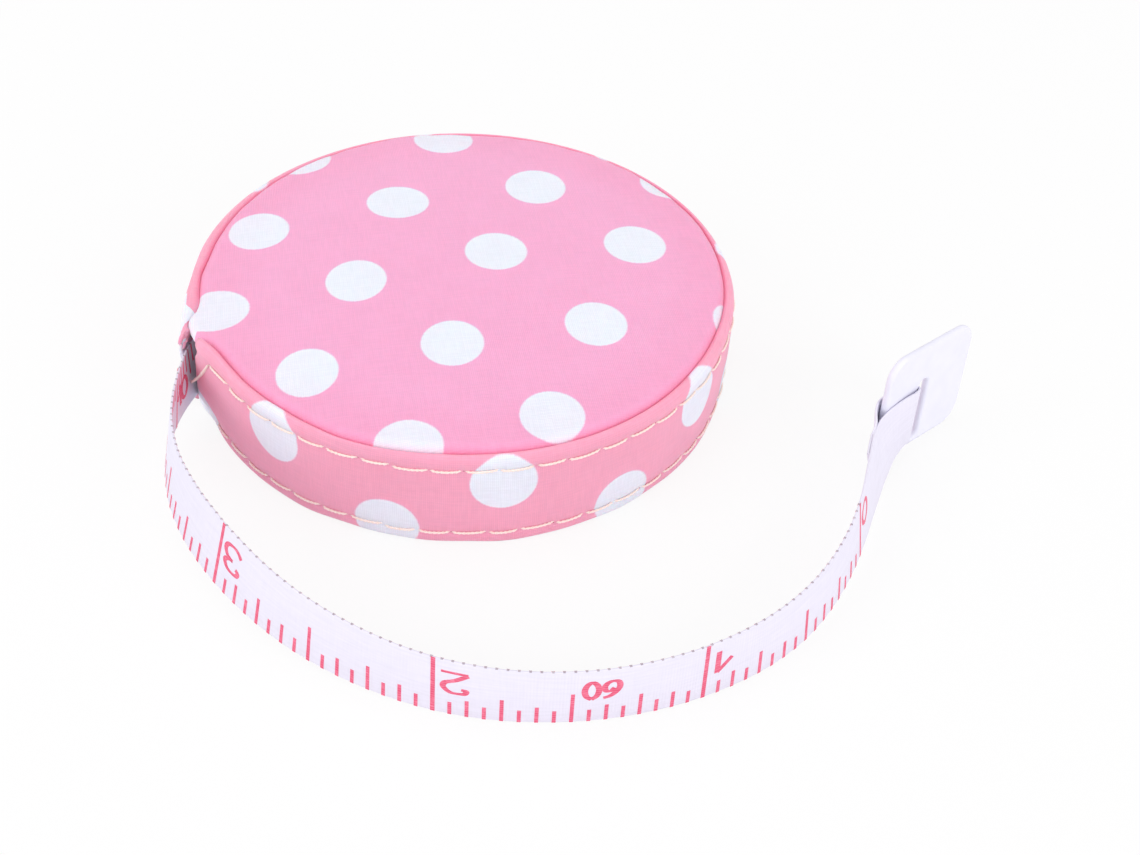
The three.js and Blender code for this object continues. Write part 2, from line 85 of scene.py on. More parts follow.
# The tape's lower edge as the solid model has it: x, y, z, and the lean of the upper
# edge towards the case in degrees
TAPE_ROUTE = [
    (-28.94, -15.35, 2.55, 5), (-29.18, -18.34, 2.67, 8.2), (-29.0, -21.83, 2.87, 10.4),
    (-28.24, -25.75, 3.08, 11.9), (-26.67, -30.17, 3.23, 13.8), (-24.4, -34.27, 3.2, 16.2),
    (-21.53, -37.99, 2.99, 17.2), (-18.21, -41.29, 2.58, 16.4), (-14.53, -44.15, 2.03, 14.3),
    (-10.52, -46.53, 1.44, 11.9), (-6.25, -48.41, 0.93, 9.1), (-1.79, -49.86, 0.55, 6.4),
    (2.79, -50.83, 0.31, 4.2), (7.47, -51.23, 0.18, 2.4), (12.17, -51.11, 0.16, 1.2),
    (16.83, -50.49, 0.18, 1.0), (21.37, -49.31, 0.2, 1.5), (25.74, -47.58, 0.19, 2.6),
    (29.86, -45.33, 0.19, 4), (33.69, -42.61, 0.24, 6), (37.06, -39.35, 0.41, 7.6),
    (39.82, -35.56, 0.69, 8.4), (42.02, -31.42, 0.97, 9.4), (43.78, -27.07, 1.2, 11.5),
    (45.28, -22.62, 1.36, 15), (46.8, -18.17, 1.48, 19),
]

# End tab
TAB_LENGTH = 14.6
TAB_HEIGHT = 13.0
TAB_THICKNESS = 0.9
TAB_CORNER = 2.6
TAB_EDGE_ROUND = 0.4
SLOT_START = 5.65
SLOT_WIDTH = 1.6
SLOT_LENGTH = 7.85
SLOT_MIDDLE = -1.83
TAB_HEADING = 44.5
TAB_LEAN = math.radians(5)
TAB_DIP = math.radians(4)
TAB_PLACE = Vector((45.88, -14.01, 7.6))

# Camera, from the perspective of the printed scale and the round case
CAMERA_PLACE = (12.83, -130.19, 108.62)
CAMERA_PITCH = math.radians(42.34)
CAMERA_ROLL = math.radians(3.97)
CAMERA_LENS = 45.57
CAMERA_SENSOR = 36.0

# Light: the name, place and size in metres, power and colour of each soft lamp
LAMPS = [
    ("key", (-0.15, 0.1, 0.6), 0.6, 0.8, (1.0, 0.98, 1.0)),
    ("left_front", (-0.55, -0.4, 0.34), 0.5, 2.0, (1.0, 0.98, 0.98)),
    ("right_front", (0.55, -0.4, 0.3), 0.5, 2.1, (1.0, 0.98, 0.98)),
]
WORLD_STRENGTH = 0.7
FLOOR_HALF = 1500
FLOOR_GLOW = 0.86


# Shaping helpers
def mix(a, b, share):
    return a + (b - a) * share


def smooth(low, high, value):
    share = min(max((value - low) / (high - low), 0.0), 1.0)
    return share * share * (3 - 2 * share)


def between(table, value):
    """The second number of a table's rows at a value of the first, in straight spans."""
    i = min(max(bisect.bisect([row[0] for row in table], value) - 1, 0), len(table) - 2)
    (low, a), (high, b) = table[i], table[i + 1]
    return mix(a, b, min(max((value - low) / (high - low), 0.0), 1.0))


def on_circle(radius, degrees, level=0.0):
    angle = math.radians(degrees)
    return Vector((radius * math.cos(angle), radius * math.sin(angle), level))


def ripple(degrees, waves):
    """A smooth uneven ripple round the case: waves are (count, strength, phase)."""
    turn = math.radians(degrees)
    return sum(strength * math.sin(count * turn + phase) for count, strength, phase in waves)


def bell(offset, reach):
    """1 in the middle, falling off smoothly over a reach."""
    return math.exp(-((offset / reach) ** 2))


def even(low, high, step):
    """Evenly spaced values from low to high, about a step apart."""
    count = max(1, round((high - low) / step))
    return [mix(low, high, i / count) for i in range(count + 1)]


def heading(path, i):
    """Unit direction of a path at its point i."""
    return (path[min(i + 1, len(path) - 1)] - path[max(i - 1, 0)]).normalized()


def around(path, i, turn):
    """Unit vector square to a path at its point i, at a turn round the path."""
    along = heading(path, i)
    side = along.cross(UP if abs(along.z) < 0.9 else Vector((1, 0, 0))).normalized()
    return side * math.cos(turn) + side.cross(along) * math.sin(turn)


def reaches(path, start=0.0):
    """Distance along a path at each of its points."""
    return list(itertools.accumulate(((b - a).length for a, b in zip(path, path[1:])), initial=start))


def curve_through(points, steps):
    """Points of a centripetal Catmull-Rom curve, steps to each span. A point may hold
    more numbers than its place; those are carried along evenly, in a second list."""
    places = [Vector(p[:3]) for p in points]
    places = [2 * places[0] - places[1], *places, 2 * places[-1] - places[-2]]
    found, extras = [], []
    for i in range(len(points) - 1):
        p0, p1, p2, p3 = places[i:i + 4]
        d0, d1, d2 = (math.sqrt((b - a).length) for a, b in ((p0, p1), (p1, p2), (p2, p3)))
        m1 = ((p1 - p0) / d0 - (p2 - p0) / (d0 + d1) + (p2 - p1) / d1) * d1
        m2 = ((p2 - p1) / d1 - (p3 - p1) / (d1 + d2) + (p3 - p2) / d2) * d1
        bend = 3 * (p2 - p1) - 2 * m1 - m2
        for k in range(steps + (i == len(points) - 2)):
            t = k / steps
            found.append(p1 + t * (m1 + t * (bend + t * (2 * (p1 - p2) + m1 + m2))))
            extras.append([mix(a, b, t) for a, b in zip(points[i][3:], points[i + 1][3:])])
    return found, extras


def rounded_outline(left, low, width, height, corner, steps=8):
    right, high = left + width - corner, low + height - corner
    left, low = left + corner, low + corner
    points = []
    for x, y, first in ((right, low, -90), (right, high, 0), (left, high, 90), (left, low, 180)):
        for k in range(steps + 1):
            angle = math.radians(first + 90 * k / steps)
            points.append((x + corner * math.cos(angle), y + corner * math.sin(angle)))
    return points


def add_object(name, data):
    thing = bpy.data.objects.new(name, data)
    bpy.context.scene.collection.objects.link(thing)
    return thing


def mesh_piece(name, points, faces, material, cloth=None, smooth_shaded=True):
    """A mesh object from points in millimetres. cloth holds, for each point, its place on the flat cloth
    and how much painted shade and pink bounce light it gets near a crease."""
    mesh = bpy.data.meshes.new(name)
    mesh.from_pydata([tuple(c * MM for c in p) for p in points], [], faces)
    if cloth:
        layer = mesh.attributes.new("cloth", "FLOAT_VECTOR", "POINT")
        layer.data.foreach_set("vector", [c for place in cloth for c in place])
    shape = bmesh.new()
    shape.from_mesh(mesh)
    bmesh.ops.remove_doubles(shape, verts=shape.verts, dist=MM * 1e-4)
    bmesh.ops.recalc_face_normals(shape, faces=shape.faces)
    shape.to_mesh(mesh)
    shape.free()
    mesh.polygons.foreach_set("use_smooth", [smooth_shaded] * len(mesh.polygons))
    mesh.materials.append(material)
    return add_object(name, mesh)


def grid_faces(rows, columns, wraps, start=0):
    faces = []
    for i in range(rows - 1):
        for j in range(columns if wraps else columns - 1):
            k = (j + 1) % columns
            corners = (i * columns + j, i * columns + k, (i + 1) * columns + k, (i + 1) * columns + j)
            faces.append(tuple(start + c for c in corners))
    return faces


def sheet_piece(name, front, back, material, cloth, wraps=False, centred=False):
    """A closed sheet between two grids of points. wraps joins the last column to the
    first; centred says that the first row is one point, so it has no edge."""
    rows, columns = len(front), len(front[0])
    size = rows * columns
    faces = grid_faces(rows, columns, wraps) + grid_faces(rows, columns, wraps, size)
    rims = [range(i * columns, (i + 1) * columns) for i in (0, rows - 1)[centred:]]
    if wraps:
        rims = [(*rim, rim[0]) for rim in rims]
    else:
        rims += [range(j, size, columns) for j in (0, columns - 1)]
    faces += [(a, b, b + size, a + size) for rim in rims for a, b in zip(rim, rim[1:])]
    points = [p for row in front + back for p in row]
    places = [p for row in cloth for p in row]
    return mesh_piece(name, points, faces, material, places * 2)


def loft(loops, capped=True):
    """Points and faces of a skin through loops of points of one count each."""
    count = len(loops[0])
    points = [p for loop in loops for p in loop]
    faces = grid_faces(len(loops), count, True)
    if capped:
        faces.append(tuple(range(count)))
        faces.append(tuple(range(len(points) - count, len(points))))
    return points, faces


def merge(parts):
    """One list of points and faces from several."""
    points, faces = [], []
    for more_points, more_faces in parts:
        start = len(points)
        points += more_points
        faces += [tuple(start + i for i in face) for face in more_faces]
    return points, faces


def tube(path, radius, sides=6):
    """A round tube along points; its ends are drawn in to a blunt tip."""
    loops = []
    for i, place in enumerate(path):
        size = radius * (BLUNT_END if i in (0, len(path) - 1) else 1)
        loops.append([place + size * around(path, i, 2 * math.pi * k / sides) for k in range(sides)])
    return loft(loops)


def turned_piece(name, profile, material, steps=96):
    """A closed profile of radius and level turned about the case's axis."""
    columns = [360 * j / steps for j in range(steps)]
    loops = [[on_circle(radius, a, level) for a in columns] for radius, level in profile]
    return mesh_piece(name, *loft([*loops, loops[0]], capped=False), material)


# Material helpers
def add_node(tree, kind, inputs=(), **settings):
    """A new shader node. An input is a value, a colour or a socket that is linked."""
    node = tree.nodes.new("ShaderNode" + kind)
    for name, value in settings.items():
        setattr(node, name, value)
    for name, value in dict(inputs).items():
        socket = node.inputs[name]
        if isinstance(value, bpy.types.NodeSocket):
            tree.links.new(value, socket)
        else:
            socket.default_value = (*value, 1) if socket.type == "RGBA" else value
    return node


class Shader:
    """A new material and short calls that add and link its nodes."""

    def __init__(self, name, color, roughness, **sockets):
        self.material = bpy.data.materials.new(name)
        self.material.use_nodes = True
        self.tree = self.material.node_tree
        self.surface = self.tree.nodes["Principled BSDF"]
        self.surface.inputs["Base Color"].default_value = (*color, 1)
        self.surface.inputs["Roughness"].default_value = roughness
        for socket, value in sockets.items():
            self.surface.inputs[socket.replace("_", " ")].default_value = value

    def add(self, kind, inputs=(), **settings):
        return add_node(self.tree, kind, inputs, **settings)

    def math(self, operation, *values):
        return self.add("Math", enumerate(values), operation=operation).outputs[0]

    def stretched(self, place, stretch):
        return self.add("VectorMath", {0: place, 1: stretch}, operation="MULTIPLY").outputs[0]

    def place(self, attribute=None):
        """The point's place in millimetres: on the flat cloth, or in the frame."""
        if attribute:
            return self.add("Attribute", attribute_name=attribute).outputs["Vector"]
        return self.stretched(self.add("TexCoord").outputs["Object"], (1 / MM,) * 3)

    def noise(self, place, scale, detail=2.0, stretch=(1, 1, 1)):
        """Noise from 0 to 1 with features about 1 / scale millimetres wide."""
        inputs = {"Vector": self.stretched(place, stretch), "Scale": scale, "Detail": detail}
        return self.add("TexNoise", inputs).outputs[0]

    def spread(self, value, low, high, to_low=0.0, to_high=1.0):
        inputs = {0: value, 1: low, 2: high, 3: to_low, 4: to_high}
        return self.add("MapRange", inputs).outputs[0]

    def mottle(self, place, scale, detail, low, high, stretch=(1, 1, 1)):
        """Noise whose usual range is spread from low to high."""
        return self.spread(self.noise(place, scale, detail, stretch), 0.3, 0.7, low, high)

    def threads(self, place, axis, pitch):
        """1 on the middle of a thread and 0 between threads that lie across an axis."""
        across = self.add("SeparateXYZ", {0: place}).outputs[axis]
        return self.math("ABSOLUTE", self.math("SINE", self.math("MULTIPLY", across, math.pi / pitch)))

    def weave(self, place, pitch):
        """Height of a plain weave: 1 on each thread crossing and 0 between threads."""
        return self.math("MULTIPLY", self.threads(place, 0, pitch), self.threads(place, 1, pitch))

    def blend(self, share, a, b):
        """A colour from a to b."""
        return self.add("Mix", {0: share, 6: a, 7: b}, data_type="RGBA").outputs[2]

    def color_from(self, color, tone=None):
        """Base colour, made lighter or darker by a tone near 1."""
        if tone:
            color = self.add("VectorMath", {0: color, "Scale": tone}, operation="SCALE").outputs[0]
        self.tree.links.new(color, self.surface.inputs["Base Color"])

    def bump_from(self, height, distance, strength=1.0):
        """Bump from a height of 0 to 1 that stands for distance millimetres."""
        inputs = {"Height": height, "Distance": distance * MM, "Strength": strength}
        node = self.add("Bump", inputs)
        self.tree.links.new(node.outputs[0], self.surface.inputs["Normal"])


PINK = (0.985, 0.395, 0.625)
# The band's cloth is the top's, its pink painted warmer and less blue, as the same cloth looks in shade
SHADED_BAND_PINK = (0.99, 0.375, 0.52)
# Painted shade and pink bounce light that deepen the cloth's pink in its creases
PAINTED_SHADE_PINK = (0.97, 0.22, 0.38)
DOT_WHITE = (0.87, 0.85, 0.985)
TAPE_WHITE = (0.77, 0.75, 0.87)
WEAVE_TURN = math.radians(-14)


def dotted_cloth(name, color, dots, weave_turn=0.0):
    """Printed plain-weave cotton, with painted shade and pink bounce light deepening its pink at the
    creases. Each white dot has its place on the cloth and half its width and height; the threads lie turned
    by weave_turn."""
    shader = Shader(
        name, color, 0.85, Sheen_Weight=0.2, Sheen_Roughness=0.5,
        Subsurface_Weight=0.4, Subsurface_Scale=1.2 * MM, Subsurface_Radius=(1.0, 0.35, 0.45),
    )
    place = shader.place("cloth")
    nearest = None
    for u, v, half_width, half_height in dots:
        wide, high = DOT_SIZE / half_width, DOT_SIZE / half_height
        ends = {0: shader.stretched(place, (wide, high, 0)), 1: (u * wide, v * high, 0)}
        reach = shader.add("VectorMath", ends, operation="DISTANCE").outputs["Value"]
        nearest = shader.math("MINIMUM", nearest, reach) if nearest else reach
    ragged = shader.math("ADD", nearest, shader.mottle(place, 1 / THREAD_PITCH, 1.0, -0.03, 0.03))
    printed = shader.spread(ragged, DOT_SIZE - 0.1, DOT_SIZE + 0.1, 1.0, 0.0)
    # Painted shade and pink bounce light in the creases: the cloth turns a deeper pink there, and its white
    # dots less so
    painted_shade = shader.add("SeparateXYZ", {0: place}).outputs[2]
    pink = shader.blend(painted_shade, color, PAINTED_SHADE_PINK)
    white = shader.blend(shader.math("MULTIPLY", painted_shade, 0.4), DOT_WHITE, PAINTED_SHADE_PINK)
    # Single threads are lighter or darker at random, and the valleys between them are darker with painted
    # shade
    turn = {"Vector": place, "Angle": weave_turn}
    turned = shader.add("VectorRotate", turn, rotation_type="Z_AXIS").outputs[0]
    height = shader.weave(turned, THREAD_PITCH)
    warp, weft = (shader.noise(turned, 1 / THREAD_PITCH, 0.0, way) for way in ((1, 0.08, 0), (0.08, 1, 0)))
    tone = shader.math("MULTIPLY", shader.spread(shader.math("ADD", warp, weft), 0.7, 1.3, 0.97, 1.02),
                       shader.spread(height, 0.0, 0.75, 0.94, 1.01))
    tone = shader.math("MULTIPLY", tone, shader.mottle(place, 0.16, 3.0, 0.98, 1.015))
    shader.color_from(shader.blend(printed, pink, white), tone)
    shader.bump_from(height, 0.04, 0.35)
    return shader.material


def tape_material():
    """White vinyl-coated tape; the glass threads inside show as faint ribs."""
    shader = Shader("tape_vinyl_look", TAPE_WHITE, 0.5, Specular_IOR_Level=0.4)
    place = shader.place("cloth")
    ribs = shader.mottle(place, 2.2, 2.0, 0.97, 1.02, (0.12, 1.6, 0))
    cross = shader.mottle(place, 2.2, 1.0, 0.985, 1.01, (1.6, 0.15, 0))
    shader.color_from(TAPE_WHITE, shader.math("MULTIPLY", ribs, cross))
    shader.bump_from(shader.weave(place, TAPE_PITCH), 0.02, 0.35)
    return shader.material


def ink_material(name, color, faded):
    """Ink on the tape's threads, thinner where a rib stands up and between threads."""
    shader = Shader(name, color, 0.55)
    place = shader.place("cloth")
    ribs = shader.noise(place, 3.0, 2.0, (0.5, 2.4, 0))
    blots = shader.noise(place, 1.1, 2.0)
    thin = shader.math("MULTIPLY", shader.spread(ribs, 0.4, 0.66), shader.spread(blots, 0.35, 0.6))
    gaps = shader.spread(shader.threads(place, 1, TAPE_PITCH), 0.0, 0.6, 0.85, 0.0)
    shader.color_from(shader.blend(shader.math("MAXIMUM", thin, gaps), color, faded))
    shader.bump_from(ribs, 0.02, 0.3)
    return shader.material


def plastic_material(name, color, roughness, mould_scale=0.5):
    """Moulded plastic: a faint flow mottle and a fine orange-peel skin."""
    shader = Shader(name, color, roughness, Specular_IOR_Level=0.4, Coat_Weight=0.08, Coat_Roughness=0.3)
    place = shader.place()
    paler = tuple(min(1.0, c * 1.015) for c in color)
    darker = tuple(c * 0.97 for c in color)
    shader.color_from(shader.blend(shader.mottle(place, mould_scale, 3.0, 0.0, 1.0), darker, paler))
    shader.bump_from(shader.noise(place, 4.0, 2.0), 0.01, 0.4)
    return shader.material


def grained_material(name, color, roughness, colors, grain, bump, low=0.3, high=0.7, **sockets):
    """A material between two colours that follow one noise, which is its bump too. grain
    is the noise's scale, detail and stretch; bump is how far and how strongly it rises."""
    shader = Shader(name, color, roughness, **sockets)
    noise = shader.noise(shader.place(), *grain)
    shader.color_from(shader.blend(shader.spread(noise, low, high), *colors))
    shader.bump_from(noise, *bump)
    return shader.material


def fibre_material(name, color, darker):
    """Wadding or felt: tangled fibres."""
    colors = (darker, color)
    return grained_material(name, color, 0.95, colors, (2.5, 4.0), (0.15, 0.8), 0.35, Sheen_Weight=0.3)


def hole_material():
    # Painted shade: the holes are dark red for the shade that falls inside them; the noise only varies it
    shader = Shader("needle_hole_shade_look", (0.6, 0.2, 0.25), 0.95)
    shade = shader.noise(shader.place(), 6.0, 1.0)
    shader.color_from(shader.blend(shade, (0.5, 0.14, 0.18), (0.7, 0.27, 0.32)))
    return shader.material


# Camera, floor and light
def make_camera():
    data = bpy.data.cameras.new("camera")
    data.lens = CAMERA_LENS
    data.sensor_width = CAMERA_SENSOR
    data.clip_start = 0.01
    camera = add_object("camera", data)
    tilt = Matrix.Rotation(math.pi / 2 - CAMERA_PITCH, 4, "X")
    roll = Matrix.Rotation(CAMERA_ROLL, 4, "Z")
    camera.matrix_world = Matrix.Translation(Vector(CAMERA_PLACE) * MM) @ tilt @ roll
    bpy.context.scene.camera = camera


def soft_lamp(name, place, size, power, color):
    data = bpy.data.lights.new(name, "AREA")
    data.size = size
    data.energy = power
    data.color = color
    lamp = add_object(name, data)
    lamp.location = place
    lamp.rotation_euler = (-Vector(place)).to_track_quat("-Z", "Y").to_euler()


def seen_straight(tree):
    """1 for what the camera sees, also in a mirror or through glass."""
    path = add_node(tree, "LightPath").outputs
    seen = path["Is Camera Ray"]
    for name in ("Is Glossy Ray", "Is Transmission Ray"):
        seen = add_node(tree, "Math", {0: seen, 1: path[name]}, operation="MAXIMUM").outputs[0]
    return seen


def make_floor():
    """White paper. To the camera it glows, so that only the deeper shadows show."""
    shader = Shader("floor_look", (0.86, 0.86, 0.87), 0.9, Specular_IOR_Level=0.1)
    glow = shader.add("Emission", {"Color": (1, 1, 1)}).outputs[0]
    share = shader.math("MULTIPLY", seen_straight(shader.tree), FLOOR_GLOW)
    both = shader.add("MixShader", {0: share, 1: shader.surface.outputs[0], 2: glow})
    surface = shader.tree.nodes["Material Output"].inputs["Surface"]
    shader.tree.links.new(both.outputs[0], surface)
    corners = [(x * FLOOR_HALF, y * FLOOR_HALF, 0) for x, y in ((-1, -1), (1, -1), (1, 1), (-1, 1))]
    mesh_piece("floor", corners, [(0, 1, 2, 3)], shader.material, smooth_shaded=False)


def make_light():
    """Soft light all round; the camera sees plain white behind the floor."""
    world = bpy.data.worlds.new("studio")
    bpy.context.scene.world = world
    world.use_nodes = True
    tree = world.node_tree
    tree.nodes.clear()
    soft = add_node(tree, "Background", {"Color": (1.0, 0.99, 0.98), "Strength": WORLD_STRENGTH})
    white = add_node(tree, "Background", {"Color": (1, 1, 1), "Strength": 1.0})
    shares = {0: seen_straight(tree), 1: soft.outputs[0], 2: white.outputs[0]}
    both = add_node(tree, "MixShader", shares)
    add_node(tree, "OutputWorld", {"Surface": both.outputs[0]})
    for lamp in LAMPS:
        soft_lamp(*lamp)


# Free tape
def stations_along(path, ups):
    """Stations of a strip: its lower edge, the way up and the way out of its outer face."""
    return [(place, up, heading(path, i).cross(up).normalized())
            for i, (place, up) in enumerate(zip(path, ups))]


class Tape:
    """The free tape's stations from the coil to its end, and how far each is from the
    mouth in millimetres."""

    def __init__(self):
        run = on_circle(1, MOUTH_HEADING)
        out = on_circle(1, MOUTH_HEADING - 90)
        exit_run = math.sqrt((CASE_RADIUS + EXIT_REACH) ** 2 - RUN_OFFSET**2)
        start = out * RUN_OFFSET + UP * TAPE_LOW
        lead = start + run * (exit_run - EXIT_LEAD)
        self.exit = start + run * exit_run
        places, leans = curve_through([(*lead, 0.0), (*self.exit, 0.0), *TAPE_ROUTE], 12)
        ups = []
        for i, (lean,) in enumerate(leans):
            along = heading(places, i)
            inward = Vector((-along.y, along.x, 0)).normalized()
            angle = math.radians(lean)
            ups.append(inward * math.sin(angle) + UP * math.cos(angle))
        self.stations = [(start, UP, out), *stations_along(places, ups)]
        self.reach = reaches([start, *places], -exit_run)

    def station(self, distance):
        """The station at a distance in millimetres from the mouth."""
        i = min(max(bisect.bisect(self.reach, distance) - 1, 0), len(self.reach) - 2)
        share = (distance - self.reach[i]) / (self.reach[i + 1] - self.reach[i])
        return tuple(a.lerp(b, share) for a, b in zip(self.stations[i], self.stations[i + 1]))

    def point(self, distance, rise, proud=0.0):
        """A point on the tape: rise above the lower edge, proud of the middle."""
        foot, up, out = self.station(distance)
        return foot + up * rise + out * proud


STRIP_OUTLINE = rounded_outline(
    -TAPE_THICKNESS / 2, 0, TAPE_THICKNESS, TAPE_WIDTH, TAPE_EDGE_ROUND, steps=2
)
END_RING = 0.03


def strip_piece(name, stations, distances, material):
    # A second ring close to each end keeps the end face from showing in the shading
    ends = ((0, 1), (-1, -2))
    first, last = ([a.lerp(b, END_RING) for a, b in zip(stations[i], stations[k])] for i, k in ends)
    stations = [stations[0], first, *stations[1:-1], last, stations[-1]]
    distances = [distances[0], *distances, distances[-1]]
    loops = [[foot + out * side + up * rise for side, rise in STRIP_OUTLINE]
             for foot, up, out in stations]
    cloth = [(distance, rise, 0) for distance in distances for _, rise in STRIP_OUTLINE]
    return mesh_piece(name, *loft(loops), material, cloth)


make_camera()
make_floor()
make_light()

tape = Tape()
tape_look = tape_material()
tape_end = tape.reach[-1]

free = even(0, tape_end, 0.4)
ribbon = strip_piece("free_tape", [tape.station(s) for s in free], free, tape_look)
inner = even(tape.reach[0], 0, 1.0)
run_in = strip_piece("tape_run_in", [tape.station(s) for s in inner], inner, tape_look)
for piece in (ribbon, run_in):
    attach(piece, "tape")
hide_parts("tape_ribbon")


# Print on the tape. Each digit is pen strokes, through points in hundredths of its
# width and height.
DIGITS = {
    "0": ["50,100 20,82 8,50 20,18 50,0 80,18 92,50 80,82 50,100"],
    "1": ["100,100 100,0", "100,98 0,47"],
    "2": ["27,77 10,80 15,93 38,98 66,96 90,74 84,56 48,38 3,7", "3,5 97,5"],
    "3": ["24,74 10,82 17,95 43,100 74,93 88,72 70,58 46,55", "46,55 80,46 93,24 82,6 47,-1 20,6 3,20"],
    "4": ["68,0 68,100", "68,100 6,28", "6,28 96,28"],
    "5": ["85,100 26,100", "26,100 18,54", "18,54 55,62 86,42 80,12 45,0 10,10"],
    "6": ["100,98 60,89 25,67 6,37 14,11 45,2 79,11 96,33 87,56 60,61 37,44"],
    "7": ["8,100 92,100", "92,100 58,50 42,0"],
    "8": ["50,54 20,68 20,92 50,100 80,92 80,68 50,54", "50,54 14,38 14,10 50,0 86,10 86,38 50,54"],
    "9": ["18,10 50,0 80,26 88,64 70,95 40,100 14,80 18,52 48,42 84,60"],
}
NARROW_ONE = 0.56
INK_FILM = 0.02
TICK_WIDTH = 0.36
LINE_WIDTH = 0.42
DIGIT_THIN = 0.28
DIGIT_THICK = 0.58
INCH_SHARES = (1.008, 0.235, 0.31, 0.235, 0.42, 0.235, 0.31, 0.235, 0.57)
INCH_BASE = 5.75
INCH_DIGIT = (2.7, 2.85)
INCH_GAP = 0.68
LENGTH_MARK_AT = 33.77
LENGTH_MARK_BASE = 5.5
LENGTH_MARK_DIGIT = (1.55, 2.35)
CM_BASE = 2.1
CM_DIGIT = (2.1, 2.8)
CM_GAP = 0.4
DIGIT_SPACING = 0.32
CM_LINE_WIDTH = 0.3
MM_TICK = 2.25
HALF_CM_TICK = 3.25
MM_TICK_WIDTH = 0.26
EDGE_DOT = 0.22
EDGE_DOT_DEPTH = 0.25
EDGE_FILM = 0.012
OUTER_FACE = TAPE_THICKNESS / 2
MM_MARKS = int(ZERO_FROM_EXIT - tape.reach[0])
BLOCK_FACES = [(0, 1, 2, 3), (4, 5, 6, 7), *((i, (i + 1) % 4, 4 + (i + 1) % 4, 4 + i) for i in range(4))]


def tick_quads(distance, low, high, width):
    """A straight mark across the tape, in short lengths, so that it follows the lean."""
    levels = even(low, high, 1.2)
    a, b = distance - width / 2, distance + width / 2
    return [((a, i), (b, i), (b, j), (a, j)) for i, j in zip(levels, levels[1:])]


def stroke_quads(stroke, to_tape):
    """A pen stroke of a digit: broad where it runs up and down."""
    points = [Vector((*(int(c) / 100 for c in pair.split(",")), 0)) for pair in stroke.split()]
    if len(points) > 2:
        line, _ = curve_through(points, 5)
    else:
        line = [points[0].lerp(points[1], k / 4) for k in range(5)]
    line = [Vector(to_tape(place)) for place in line]
    edges = []
    for i, place in enumerate(line):
        along = heading(line, i)
        aside = Vector((-along.y, along.x)) * mix(DIGIT_THIN, DIGIT_THICK, abs(along.y)) / 2
        edges.append((place + aside, place - aside))
    return [(a, b, d, c) for (a, b), (c, d) in zip(edges, edges[1:])]


def number_quads(text, start, base, upward, size):
    """A number that begins at start and runs towards the mouth. upward is 1 where the
    digits stand up the tape and -1 where they hang head down."""
    quads = []
    for digit in text:
        width = size[0] * (NARROW_ONE if digit == "1" else 1)
        for stroke in DIGITS[digit]:
            quads += stroke_quads(stroke, lambda p: (start - p[0] * width, base + upward * p[1] * size[1]))
        start -= width + DIGIT_SPACING
    return quads


def inch_quads():
    """Sixteenths of an inch up from the lower edge, counted from the zero mark. Each
    number stands on the tab's side of its line."""
    quads = []
    count = int((ZERO_FROM_EXIT - tape.reach[0]) / SIXTEENTH)
    for n in range(count):
        part = n % 16
        rise = TAPE_WIDTH * INCH_SHARES[min(part, 16 - part)]
        width = TICK_WIDTH if part else LINE_WIDTH
        quads += tick_quads(ZERO_FROM_EXIT - n * SIXTEENTH, 0, rise, width)
    for inch in range(5):
        line = ZERO_FROM_EXIT - inch * 16 * SIXTEENTH
        reach = INCH_DIGIT[0] if inch != 1 else INCH_DIGIT[0] * NARROW_ONE + DIGIT_THICK
        quads += number_quads(str(inch), line + INCH_GAP + reach, INCH_BASE, -1, INCH_DIGIT)
    start = ZERO_FROM_EXIT - LENGTH_MARK_AT
    return quads + number_quads("60", start, LENGTH_MARK_BASE, -1, LENGTH_MARK_DIGIT)


def centimetre_quads():
    """Centimetres with their numbers, and millimetres down from the upper edge."""
    quads = []
    for n in range(MM_MARKS):
        line = ZERO_FROM_EXIT - n
        if n % 10 == 0:
            quads += tick_quads(line, 0, TAPE_WIDTH, CM_LINE_WIDTH)
            quads += number_quads(str(n // 10), line - CM_GAP, CM_BASE, 1, CM_DIGIT)
        else:
            low = TAPE_WIDTH - (HALF_CM_TICK if n % 5 == 0 else MM_TICK)
            quads += tick_quads(line, low, TAPE_WIDTH, MM_TICK_WIDTH)
    return quads


def edge_dot_quads():
    """The ink that the millimetre marks leave on the tape's upper edge."""
    low, high = TAPE_WIDTH - EDGE_DOT_DEPTH, TAPE_WIDTH + EDGE_FILM
    return sum((tick_quads(ZERO_FROM_EXIT - n, low, high, EDGE_DOT) for n in range(MM_MARKS)), [])


def print_piece(name, quads, low, high, ink):
    """Thin blocks of ink between two distances from the tape's middle. Each quad has four
    places on the tape."""
    parts, cloth = [], []
    for quad in quads:
        points = [tape.point(s, rise, proud) for proud in (low, high) for s, rise in quad]
        parts.append((points, BLOCK_FACES))
        cloth += [(s, rise, 0) for s, rise in quad] * 2
    piece = mesh_piece(name, *merge(parts), ink, cloth, smooth_shaded=False)
    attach(piece, "tape")
    return piece


red_ink = ink_material("red_ink_look", (0.72, 0.065, 0.16), (0.9, 0.24, 0.36))
dark_ink = ink_material("dark_ink_look", (0.42, 0.36, 0.42), (0.6, 0.54, 0.6))
sunk, proud = OUTER_FACE - INK_FILM, OUTER_FACE + INK_FILM
skin = OUTER_FACE + EDGE_FILM
inch_print = print_piece("inch_scale_print", inch_quads(), sunk, proud, red_ink)
cm_print = print_piece("centimetre_scale_print", centimetre_quads(), -sunk, -proud, red_ink)
mm_print = print_piece("millimetre_edge_print", edge_dot_quads(), -skin, 0.7 * skin, dark_ink)


